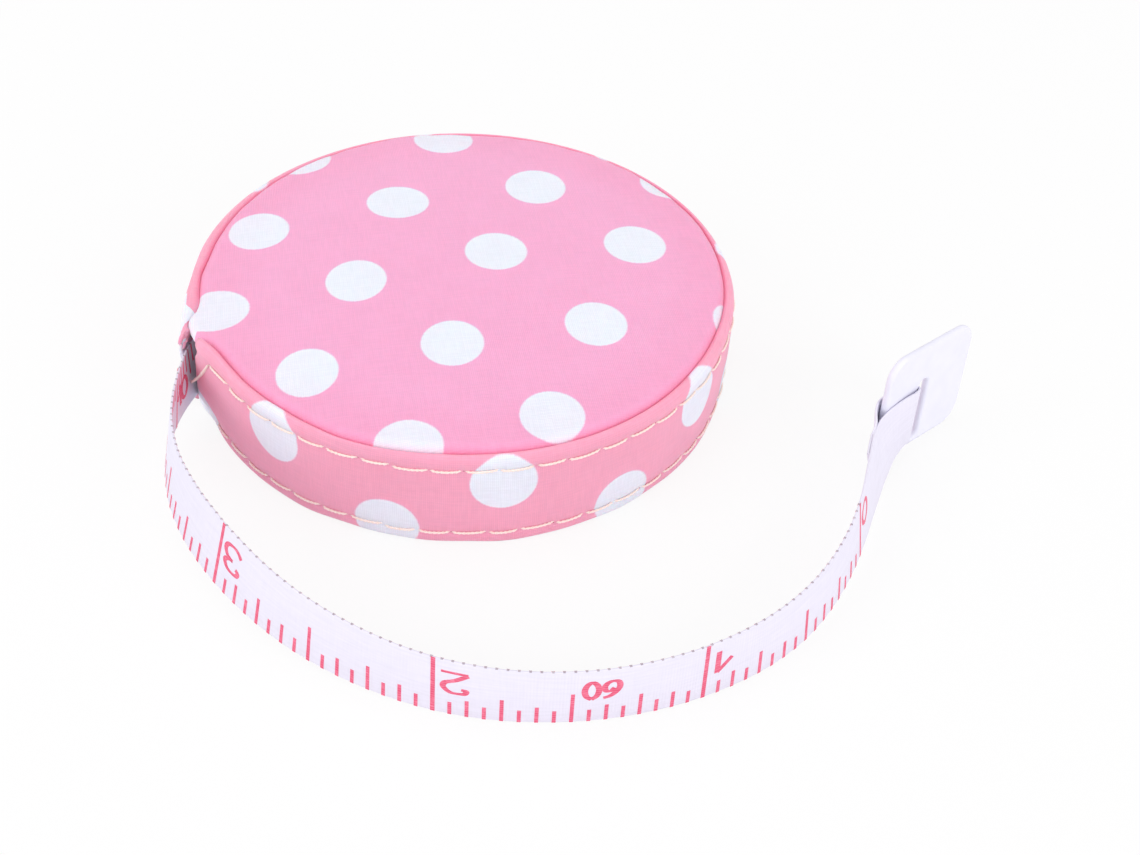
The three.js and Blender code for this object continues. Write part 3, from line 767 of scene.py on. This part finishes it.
# Folded end of the tape, and the tab that it holds
# Each row is the lower edge's place in the tab's own axes, along it, in front of its
# middle and up it, and how far the strip has turned from the tape's lean to the plate's.
FOLD_ROUTE = [
    (0.1, 2.2, -6.25, 0.05), (1.6, 1.55, -6.0, 0.35), (3.1, 1.1, -5.75, 0.7), (4.5, 0.82, -5.6, 1),
    (5.3, 0.72, -5.55, 1), (5.68, 0.5, -5.55, 1), (5.8, 0, -5.55, 1), (5.68, -0.5, -5.55, 1),
    (5.4, -0.72, -5.55, 1), (4.4, -0.8, -5.55, 1), (2.4, -0.8, -5.55, 1), (1.1, -0.8, -5.6, 0.9),
    (-0.1, 0.1, -5.7, 0.65), (-1.0, 1.9, -6.2, 0.25),
]
TAIL_FROM, TAIL_TO = 0.3, 3.3
TAIL_GAP = 0.26

tab_flat = on_circle(1, TAB_HEADING)
tab_flat_out = on_circle(1, TAB_HEADING - 90)
tab_along = tab_flat * math.cos(TAB_DIP) - UP * math.sin(TAB_DIP)
tab_rise = UP * math.cos(TAB_DIP) + tab_flat * math.sin(TAB_DIP)
tab_up = tab_rise * math.cos(TAB_LEAN) - tab_flat_out * math.sin(TAB_LEAN)
tab_out = tab_rise * math.sin(TAB_LEAN) + tab_flat_out * math.cos(TAB_LEAN)


def on_tab(along, up, out):
    """A place in the tab's own axes: along it, up it and out of its front face."""
    return TAB_PLACE + tab_along * along + tab_up * up + tab_out * out


def fold_stations():
    """From the free tape's end through the slot, round the bar and back along the
    inner face. The way up turns from the tape's to the tab's and back."""
    tape_foot, tape_up, _ = tape.station(tape_end)
    points = [(*tape_foot, *tape_up)]
    for along, out, low, turn in FOLD_ROUTE:
        points.append((*on_tab(along, low, out), *tape_up.lerp(tab_up, turn)))
    for back in even(TAIL_FROM, TAIL_TO, 1.0):
        foot, up, out = tape.station(tape_end - back)
        points.append((*(foot - out * TAIL_GAP), *up))
    places, ups = curve_through(points, 6)
    ups = [Vector(up).normalized() for up in ups]
    return stations_along(places, ups), reaches(places, tape_end)


def tab_outlines(inset):
    """Outlines of the plate and of its slot, both drawn back from the edge by inset."""
    plate = rounded_outline(inset, inset - TAB_HEIGHT / 2, TAB_LENGTH - 2 * inset,
                            TAB_HEIGHT - 2 * inset, TAB_CORNER - inset)
    slot_low = SLOT_MIDDLE - SLOT_LENGTH / 2
    slot = rounded_outline(SLOT_START - inset, slot_low - inset, SLOT_WIDTH + 2 * inset,
                           SLOT_LENGTH + 2 * inset, SLOT_WIDTH / 2 + inset)
    return plate, slot


def tab_piece():
    """The plate as rings of points over its rounded edges, with flat faces between the
    outline and the slot."""
    # The inset and height of each ring, from the left half of the plate's own section
    section = rounded_outline(0, -TAB_THICKNESS / 2, TAB_LENGTH, TAB_THICKNESS, TAB_EDGE_ROUND, steps=4)
    levels = section[len(section) // 2:]
    parts = []
    for which in (0, 1):
        loops = [[on_tab(x, y, height) for x, y in tab_outlines(inset)[which]] for inset, height in levels]
        parts.append(loft(loops, capped=False))
    points, faces = merge(parts)
    flat = [[Vector((x, y, 0)) for x, y in outline] for outline in tab_outlines(TAB_EDGE_ROUND)]
    count, start = len(flat[0]), len(parts[0][0])
    for level in (0, len(levels) - 1):
        index = [base + level * count + i for base in (0, start) for i in range(count)]
        faces += [tuple(index[i] for i in face) for face in tessellate_polygon(flat)]
    piece = mesh_piece("slotted_tab", points, faces, plastic_material("tab_look", (0.8, 0.8, 0.92), 0.4))
    for polygon in piece.data.polygons:
        polygon.use_smooth = len(polygon.vertices) == 4
    return piece


fold = strip_piece("tape_fold", *fold_stations(), tape_look)
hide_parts("tape_end_fold")
fold_start = tape.station(tape_end)[0] * MM
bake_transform(fold)

tab = tab_piece()
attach(tab, "tab")
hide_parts("end_tab")

middle = TAPE_WIDTH / 2
[tuple(tape.point(s, middle) * MM) for s in even(0, tape_end, 3.5)]


# Cloth
# Dots on the round cloth: place on the case, half the width and half the height
TOP_DOTS = [
    (-5.5, 26.9, 3.65, 3.5), (-9.1, 11.5, 3.63, 3.4), (6.7, 17.0, 3.6, 3.75), (-24.0, 4.5, 3.4, 3.5),
    (3.15, 2.8, 3.5, 3.54), (18.8, 6.6, 3.58, 3.65), (-11.55, -4.2, 3.3, 3.7), (14.85, -8.6, 3.37, 3.55),
    (0.0, -13.7, 3.3, 3.55), (-14.2, -19.3, 3.17, 3.53), (-25.8, -10.0, 3.7, 3.4), (-2.7, -28.7, 3.45, 3.4),
    # The narrow first dot on the next line stands on the lip: partly the white of the dot beside it running
    # on along the lip, partly a painted highlight on the lip's rolled edge
    (-27.5, -12.9, 0.55, 1.8), (11.0, -23.1, 3.3, 3.36), (22.7, 20.9, 3.45, 3.45),
    (-22.0, 20.3, 3.45, 3.45), (31.0, -4.9, 3.45, 3.45),
]
# Dots on the band: those near the mouth and round the front, then at an even pitch
BAND_DOT_HIGH, BAND_DOT_LOW = 8.8, 2.2
BAND_DOTS = [(235.4, 8.95), (283.0, 8.65), (330.9, 8.9), (206.4, 0.8), (260.3, 2.05), (308.7, 2.05)]
BAND_DOTS += [(330.9 + 45 * k, BAND_DOT_HIGH) for k in range(1, 5)]
BAND_DOTS += [(308.7 + 45.4 * k, BAND_DOT_LOW) for k in range(1, 6)]
FLAP_DOT = (558.6, 9.5, 3.8, 4.2)

# Shape of the covers
CROWN = 1.5
CROWN_FALL = 1.15
CROWN_POWER = 2.2
BACK_LIFT = 0.3
SHOULDER = 1.3
SHOULDER_START = 27.6
SHOULDER_DROP = 0.95
# How much painted shade and pink bounce light the cover gets on the rolled edge, at its foot and just
# inside it
ROLL_PAINTED_SHADE, FOOT_PAINTED_SHADE, INNER_PAINTED_SHADE = 0.45, 0.4, 0.15
COVER_RIM = 28.9
RIM_WAVES = [(7, 0.05, 0.4), (13, 0.04, 2.0), (29, 0.025, 1.1), (53, 0.02, 4.0)]
COVER_WAVES = [(3, 0.03, 1.0), (5, 0.025, 2.6), (11, 0.012, 0.3)]

# The top cloth's edge by the angle round the case; beside the mouth it stands out as a lip
COVER_EDGE = [
    (0, 29.0), (6, 29.1), (18, 29.3), (30, 29.45), (66, 29.5), (114, 29.5), (126, 29.3), (138, 29.15),
    (150, 29.05), (162, 28.85), (180, 28.85), (186, 29.1), (195.5, 29.1), (197.2, 29.25), (199.2, 29.65),
    (200, 29.96), (201, 30.4), (202.1, 30.66), (205.4, 30.6), (207.7, 30.52), (208.6, 30.1),
    (210.1, 29.72), (212.3, 29.35), (214.8, 29.09), (217.7, 28.97), (222, 28.85), (237, 28.85),
    (245.6, 29.08), (250, 29.27), (259, 29.27), (265.5, 29.11), (271, 28.97), (300, 29.0), (315, 28.9),
    (333, 28.7), (345, 28.78), (354, 28.95), (360, 29.0),
]


def at_back(degrees):
    """1 round the back of the case and 0 round its front."""
    return smooth(-0.2, 0.7, math.sin(math.radians(degrees)))


def crown_level(radius, degrees):
    """Height of the cover above the case's middle, before its edge rolls down."""
    fall = CROWN_FALL * (radius / SHOULDER_START) ** CROWN_POWER
    return MID_LEVEL + CROWN - fall + BACK_LIFT * at_back(degrees) * smooth(14, SHOULDER_START, radius)


def lip_share(degrees):
    """1 where the top cloth's edge stands out as a lip beside the mouth."""
    return smooth(194, 198, degrees) * (1 - smooth(209, 213, degrees))


def cover_place(row, degrees, edge):
    """Radius, height and share of painted shade and pink bounce light on a cover. A row is a share of the
    way out to the shoulder and an angle round the rolled edge."""
    reach, bend = row
    start = edge - SHOULDER
    inner = reach * SHOULDER_START + (start - SHOULDER_START) * smooth(0.9, 1, reach)
    roll = math.radians(bend)
    height = crown_level(inner, degrees) - SHOULDER_DROP * (1 - math.cos(roll))
    # Painted shade and pink bounce light: deeper down the rolled edge into the crease, none on the lip, and
    # a little just inside the rim
    painted_shade = ROLL_PAINTED_SHADE * smooth(20, 75, bend) + FOOT_PAINTED_SHADE * smooth(72, 90, bend)
    painted_shade = painted_shade * (1 - lip_share(degrees)) + INNER_PAINTED_SHADE * smooth(21, SHOULDER_START, inner)
    return mix(inner, edge, math.sin(roll)), height, painted_shade


def cover_piece(name, upper, material, columns=432):
    side = 1 if upper else -1
    rows = [(r / SHOULDER_START, 0) for r in even(0, 25.6, 1.6) + even(26, SHOULDER_START, 0.4)]
    rows += [(1, bend) for bend in even(9, 90, 9)]
    front, back, cloth = ([[] for _ in rows] for _ in range(3))
    for j in range(columns):
        degrees = 360 * j / columns
        edge = between(COVER_EDGE, degrees) if upper else COVER_RIM
        places = [cover_place(row, degrees, edge) for row in rows]
        line = [Vector(place[:2]) for place in places]
        for i, (radius, height, painted_shade) in enumerate(places):
            slope = heading(line, i)
            wave = ripple(degrees, RIM_WAVES) * smooth(22, SHOULDER_START, radius)
            wave += ripple(degrees, COVER_WAVES) * radius / CASE_RADIUS
            if not upper:
                height, wave = min(height, MID_LEVEL - 0.02), min(wave, 0)
            level = MID_LEVEL + side * (height + wave)
            front[i].append(on_circle(radius, degrees, level))
            inner = max(radius + slope.y * CLOTH, 0)
            back[i].append(on_circle(inner, degrees, level - side * slope.x * CLOTH))
            cloth[i].append((*front[i][-1].xy, painted_shade))
    return sheet_piece(name, front, back, material, cloth, wraps=True, centred=True)


top_look = dotted_cloth("top_cloth_look", PINK, TOP_DOTS, WEAVE_TURN)
top = cover_piece("top_cloth", True, top_look)
bottom = cover_piece("bottom_cloth", False, top_look)
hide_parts("top_cover")
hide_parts("bottom_cover")

# Shape of the band. Each row of its section is a setback from the case's radius and a
# height above the case's middle; the lower half mirrors the upper one.
HEM_PATH = [
    (0.12, 0.0), (0.13, 2.0), (0.16, 3.4), (0.26, 4.3), (0.2, 4.8),
    (0.23, 5.3), (0.4, 5.68), (0.64, 5.84), (0.84, 5.72), (0.93, 5.4),
    (0.88, 4.95), (0.68, 4.5), (0.54, 4.1), (0.52, 3.75),
]
HEM_FOOT = 3.7
SECTION_STEPS = 3
STITCH_ROW = 4.3
STITCH_PITCH = 3.55
STITCH_LENGTH = 3.2
STITCH_PULL = 0.1
STITCH_PULL_REACH = 0.35
STITCH_SPAN = {STITCH_ROW: (214.4, 560), -STITCH_ROW: (212.0, 558)}
TURN_PER_MM = math.degrees(1 / CASE_RADIUS)
BAND_FROM, BAND_TO = 206.0, 564.0
BAND_COLUMNS = 620
FLAP_LIFT = [(541, 0), (546, 0.13), (549, 0.31), (552, 0.57), (556, 0.99), (559, 1.26), (562, 1.55),
             (566, 2.2), (569, 2.9), (572, 3.3)]
BACK_SWELL = 0.28
HEM_LEVEL = 4.8
PAINTED_SHADE_LEVEL = 4.4
HEM_OUTER, HEM_REACH, HEM_OVERLAP = 0.2, 0.73, 0.1
LIP_DROP = 0.4
NEAR_BULGE = 0.75
NEAR_START = 201.5
NEAR_STEP = 3.2
NEAR_RAKE = [(-3, 0), (6, 4.8)]
NOTCH, NOTCH_REACH = 1.3, 0.8
FLAP_TIP, FLAP_RAKE = 560, 5.9
CAP_BULGE = 0.2
NEAR_RISE = 0.5
NEAR_BULGE_REACH = 9.0
SIDE_WAVES = [(9, 0.05, 0.5), (17, 0.04, 2.2), (31, 0.025, 5.0)]
LOWER_WAVES = [(7, 0.07, 1.4), (16, 0.08, 0.2), (27, 0.04, 3.3)]


def near_end(height):
    """Where the band begins beside the mouth: it runs on under the tape, and a small
    notch opens at the upper stitches."""
    notch = NOTCH * bell(height - STITCH_ROW, NOTCH_REACH)
    return NEAR_START + NEAR_STEP * smooth(-4.2, -3.0, height) + between(NEAR_RAKE, height) + notch


def flap_tip(height):
    return FLAP_TIP + FLAP_RAKE * smooth(-MID_LEVEL, MID_LEVEL, height)


def hem_share(setback, height):
    """0 on the band's outer face and 1 where the upper hem meets the top cloth."""
    return max((setback - HEM_OUTER) / HEM_REACH, 0) if height > HEM_LEVEL else 0.0


def band_angle(share, setback, height):
    """The angle at a share of the band's length, with its slanted ends."""
    angle = mix(BAND_FROM, BAND_TO, share)
    angle += (near_end(height) - BAND_FROM) * (1 - smooth(0, 0.05, share))
    slant = 2 * hem_share(setback, height)
    return angle + (flap_tip(height) - slant - BAND_TO) * smooth(0.95, 1, share)


def band_lift(angle, height):
    """How far the band stands off the case's radius."""
    lift = between(FLAP_LIFT, angle) + BACK_SWELL * smooth(-0.35, 0.1, math.sin(math.radians(angle)))
    lift += NEAR_BULGE * (1 - smooth(0, NEAR_BULGE_REACH, angle - near_end(height)))
    return lift + ripple(angle, SIDE_WAVES) * (1 - abs(height) / MID_LEVEL)


def stitch_share(angle, height):
    """0 in the middle of a stitch and 1 at the needle holes."""
    first, _ = STITCH_SPAN[math.copysign(STITCH_ROW, height)]
    return 0.5 + 0.5 * math.cos(2 * math.pi * (angle - first) / TURN_PER_MM / STITCH_PITCH)


def band_section():
    """Rows of the section: setback, height, unit way out and length along the cloth."""
    half = [(s, h, 0) for s, h in HEM_PATH]
    whole = [(s, -h, 0) for s, h, _ in reversed(half[1:])] + half
    places, _ = curve_through(whole, SECTION_STEPS)
    lengths = reaches(places)
    rows = []
    for i, place in enumerate(places):
        along = heading(places, i)
        rows.append((place.x, place.y, Vector((-along.y, along.x)), lengths[i] - lengths[-1] / 2))
    return rows


def band_point(angle, setback, height):
    pull = STITCH_PULL * bell(abs(height) - STITCH_ROW, STITCH_PULL_REACH) * stitch_share(angle, height)
    outer = CASE_RADIUS + band_lift(angle, height)
    radius = outer - setback - pull
    hem = hem_share(setback, height)
    if hem:
        radius = mix(outer - HEM_OUTER, between(COVER_EDGE, angle % 360) + HEM_OVERLAP, hem)
    beside_lip = lip_share(angle % 360) if angle > 360 else 0
    raised = smooth(4.6, 5.4, height) * (0.1 * at_back(angle) - LIP_DROP * beside_lip)
    raised += NEAR_RISE * smooth(2.2, 3.8, height) * (1 - smooth(212, 226, angle))
    sag = ripple(angle, LOWER_WAVES) * smooth(2.5, 6, -height)
    return on_circle(radius, angle, max(MID_LEVEL + height + raised + sag, 0.03))


def flat_place(angle, setback, height, reach):
    """Place on the flat cloth of the band, and how much painted shade and pink bounce light it gets in the
    crease.
    """
    # Painted shade and pink bounce light where the hem turns in to the crease, none beside the mouth
    painted_shade = smooth(0.62, 0.95, setback) if abs(height) > PAINTED_SHADE_LEVEL else 0
    beside_mouth = lip_share(angle % 360) if height > 0 else 0
    # The flap's white edge widens to the whole hem beside the lip
    pink_from = 0.45 + 0.5 * max(1 - abs(angle - FLAP_TIP) / 4, 0)
    on_hem = smooth(pink_from - 0.06, pink_from + 0.06, setback) if height > HEM_LEVEL else 0
    across = reach + 3 * on_hem * smooth(540, 542, angle)
    return angle / TURN_PER_MM, across, painted_shade * (1 - beside_mouth)


def band_piece(material):
    """The band, and the caps that close the folded hems at both of its ends."""
    front, back, cloth = [], [], []
    section = band_section()
    shares = even(0, 1, 1 / BAND_COLUMNS)
    for setback, height, way, reach in section:
        angles = [band_angle(share, setback, height) for share in shares]
        out, up = way.x * CLOTH / 2, way.y * CLOTH / 2
        front.append([band_point(angle, setback + out, height + up) for angle in angles])
        back.append([band_point(angle, setback - out, height - up) for angle in angles])
        cloth.append([flat_place(angle, setback, height, reach) for angle in angles])
    whole = sheet_piece("band_cloth", front, back, material, cloth)
    points, faces, places = [], [], []
    for side, (end, inner) in itertools.product((1, -1), ((0, 1), (-1, -2))):
        rows = [i for i, row in enumerate(section) if side * row[1] > HEM_FOOT]
        count, start = len(rows), len(points)
        ring = [front[i][end] for i in rows]
        inward = (front[rows[0]][inner] - ring[0]).normalized()
        points += [*ring, sum(ring, Vector()) / count - inward * CAP_BULGE]
        places += [(*cloth[i][end][:2], 0) for i in (*rows, rows[0])]
        faces += [(start + k, start + (k + 1) % count, start + count) for k in range(count)]
    return whole, mesh_piece("hem_ends", points, faces, material, places)


round_dots = [(*dot, DOT_SIZE, DOT_SIZE) for dot in BAND_DOTS] + [FLAP_DOT]
band_dots = [(angle / TURN_PER_MM, level - MID_LEVEL, *half) for angle, level, *half in round_dots]
# The band's base pink is the top's cloth with painted shade
band_look = dotted_cloth("band_cloth_look", SHADED_BAND_PINK, band_dots)
band, hem_ends = band_piece(band_look)
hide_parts("side_band")
for piece in (bottom, band, hem_ends):
    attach(piece, "case")


# Sewing
PLY_RADIUS = 0.09
PLY_OFFSET = 0.065
PLY_TWIST = 0.9
STITCH_SLANT = 0.12
STITCH_DIP = 0.2
STITCH_STEPS = 14
HOLE_RADIUS = 0.09
HOLE_DEPTH, HOLE_RIM = 0.06, 0.015
LOOSE_FROM = 214.3
LOOSE_TO = (1.45, 2.95, -0.3)
LOOSE_SAG, LOOSE_SIZE = 0.3, 1.3
HEM_SURFACE = 0.26 - CLOTH / 2


def twisted(path, size=1.0):
    """Two plies wound round a path."""
    parts = []
    for phase in (0, math.pi):
        turns = [2 * math.pi * run / PLY_TWIST + phase for run in reaches(path)]
        ply = [place + size * PLY_OFFSET * around(path, i, turns[i]) for i, place in enumerate(path)]
        parts.append(tube(ply, size * PLY_RADIUS))
    return parts


def row_surface(angle, height, proud=0.0):
    """A point on the band's outer face at a stitch row."""
    return band_point(angle, HEM_SURFACE - proud, height)


def stitch_starts(row):
    first, last = STITCH_SPAN[row]
    step = STITCH_PITCH * TURN_PER_MM
    return [first + step * k for k in range(int((last - first) / step))]


def stitch_wander(k):
    """How far the kth stitch strays up or down its row."""
    return 0.06 * math.sin(2.4 * k) + 0.04 * math.sin(5.1 * k + 1)


def stitches(row):
    parts = []
    for k, start in enumerate(stitch_starts(row)):
        path = []
        shorter = 0.05 * math.sin(3.7 * k + row)
        for share in even(0, 1, 1 / STITCH_STEPS):
            run = (STITCH_PITCH - STITCH_LENGTH) / 2 + STITCH_LENGTH * mix(shorter, 1 - shorter, share)
            level = row + stitch_wander(k) + STITCH_SLANT * (share - 0.5)
            proud = PLY_RADIUS + 0.05 - STITCH_DIP * (1 - smooth(0, 0.12, min(share, 1 - share)))
            path.append(row_surface(start + run * TURN_PER_MM, level, proud))
        parts += twisted(path)
    return parts


def holes(row):
    """Needle holes that show at some stitch ends: flat six-sided dimples, painted dark red for the shade
    inside them.
    """
    parts = []
    ring = [on_circle(HOLE_RADIUS, 60 * i) for i in range(6)]
    for k, angle in list(enumerate(stitch_starts(row)))[::3]:
        level = row + stitch_wander(k)
        parts.append(loft([[row_surface(angle + p.x * TURN_PER_MM, level + p.y, proud) for p in ring]
                           for proud in (-HOLE_DEPTH, HOLE_RIM)]))
    return parts


def loose_thread():
    """The upper row's thread runs on from the band to the tape's inner face."""
    start = row_surface(LOOSE_FROM, STITCH_ROW, PLY_RADIUS)
    end = tape.point(*LOOSE_TO)
    path = [start.lerp(end, share) - UP * LOOSE_SAG * math.sin(math.pi * share)
            for share in even(0, 1, 1 / 18)]
    return twisted(path, LOOSE_SIZE)


thread_look = grained_material(
    "thread_look", (1.0, 0.84, 0.77), 0.7, ((0.95, 0.72, 0.64), (1.0, 0.92, 0.86)),
    (8.0, 2.0), (0.03, 0.6), Sheen_Weight=0.3,
)
sewing = [
    ("upper_stitches", stitches(STITCH_ROW) + loose_thread(), thread_look),
    ("lower_stitches", stitches(-STITCH_ROW), thread_look),
    ("needle_holes", holes(STITCH_ROW) + holes(-STITCH_ROW), hole_material()),
]
for name, parts, look in sewing:
    piece = mesh_piece(name, *merge(parts), look)
    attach(piece, "case")


# Soft and wound pieces inside the case
WADDING_RADIUS = 28.4
FELT_WIDTH, FELT_ROUND = 3.1, 0.12
wadding_look = fibre_material("wadding_look", (0.9, 0.88, 0.86), (0.78, 0.75, 0.72))
felt_look = fibre_material("felt_look", (0.36, 0.35, 0.34), (0.2, 0.19, 0.19))


def wadding_piece(name, upper):
    """A soft layer between the shell and the cloth, crowned as the cloth is."""
    node = "top_wadding" if upper else "bottom_wadding"
    low, high = (corner.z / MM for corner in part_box(node))
    if upper:
        flat, edge = low + 0.02, high - 0.1
        swell = [(r, MID_LEVEL + crown_level(r, -90) - CLOTH - 0.05) for r in even(27, 0, 2.25)]
    else:
        flat, edge = high - 0.02, low + 0.15
        swell = [(r, low - 0.1) for r in even(27, 0, 2.25)]
    profile = [(0, flat), (WADDING_RADIUS - 0.4, flat), (WADDING_RADIUS, mix(flat, edge, 0.5)),
               (WADDING_RADIUS - 0.3, edge), *swell]
    piece = turned_piece(name, profile, wadding_look)
    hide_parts(node)
    return piece


top_wadding = wadding_piece("top_wadding_layer", True)
bottom_wadding = wadding_piece("bottom_wadding_layer", False)
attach(bottom_wadding, "case")


def felt_piece():
    """The brake's felt ring with worn edges."""
    low, high = (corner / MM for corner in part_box("brake_felt"))
    profile = rounded_outline(high.y - FELT_WIDTH, low.z, FELT_WIDTH, high.z - low.z, FELT_ROUND, steps=1)
    piece = turned_piece("felt_ring", profile, felt_look)
    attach(piece, "button")
    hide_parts("brake_felt")


felt_piece()

COIL_INNER = 19.9
COIL_TURNS = 10.4
COIL_STEPS = 72
COIL_START = 163
WOUND_PITCH = 0.288


def coil_piece():
    """The wound tape as one spiral strip."""
    loops, cloth = [], []
    steps = round(COIL_TURNS * COIL_STEPS)
    for i in range(steps + 1):
        turn = COIL_TURNS * i / steps
        radius = COIL_INNER + WOUND_PITCH * (turn + 0.5)
        out = on_circle(1, COIL_START - 360 * (COIL_TURNS - turn))
        corners = ((-1, 0), (1, 0), (1, 1), (-1, 1))
        loops.append([out * (radius + side * TAPE_THICKNESS / 2) + UP * (TAPE_LOW + rise * TAPE_WIDTH)
                      for side, rise in corners])
        cloth += [(radius * turn, rise * TAPE_WIDTH, 0) for _, rise in corners]
    piece = mesh_piece("wound_tape", *loft(loops), tape_look, cloth)
    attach(piece, "drum")
    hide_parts("tape_coil")


coil_piece()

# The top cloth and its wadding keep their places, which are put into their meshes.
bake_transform(top_wadding)
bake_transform(top)

# Finish of the hard pieces
white = plastic_material("white_plastic_look", (0.86, 0.85, 0.9), 0.42)
natural = plastic_material("natural_plastic_look", (0.76, 0.75, 0.7), 0.5, 0.3)
steel = grained_material(
    "spring_steel_look", (0.42, 0.45, 0.5), 0.32, ((0.33, 0.36, 0.43), (0.52, 0.54, 0.56)),
    (3.0, 3.0, (1, 1, 8)), (0.01, 0.5), Metallic=1.0,
)
finishes = {
    white: ("lower_shell", "upper_shell", "push_button"),
    natural: ("tape_drum", "drum_cover", "tape_anchor", "brake_ring"),
    steel: ("power_spring", "stem_clip"),
}
for look, names in finishes.items():
    for name in names:
        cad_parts[name].material_slots[0].material = look

# The return spring, pressed together between the spindle and the button, is copied into a mesh of its own
solid_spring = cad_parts["return_spring"]
places = [solid_spring.matrix_world @ vertex.co / MM for vertex in solid_spring.data.vertices]
spring = mesh_piece("return_coil", places, [tuple(p.vertices) for p in solid_spring.data.polygons], steel)
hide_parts("return_spring")
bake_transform(spring)

# Standard colours
bpy.context.scene.view_settings.view_transform = "Standard"
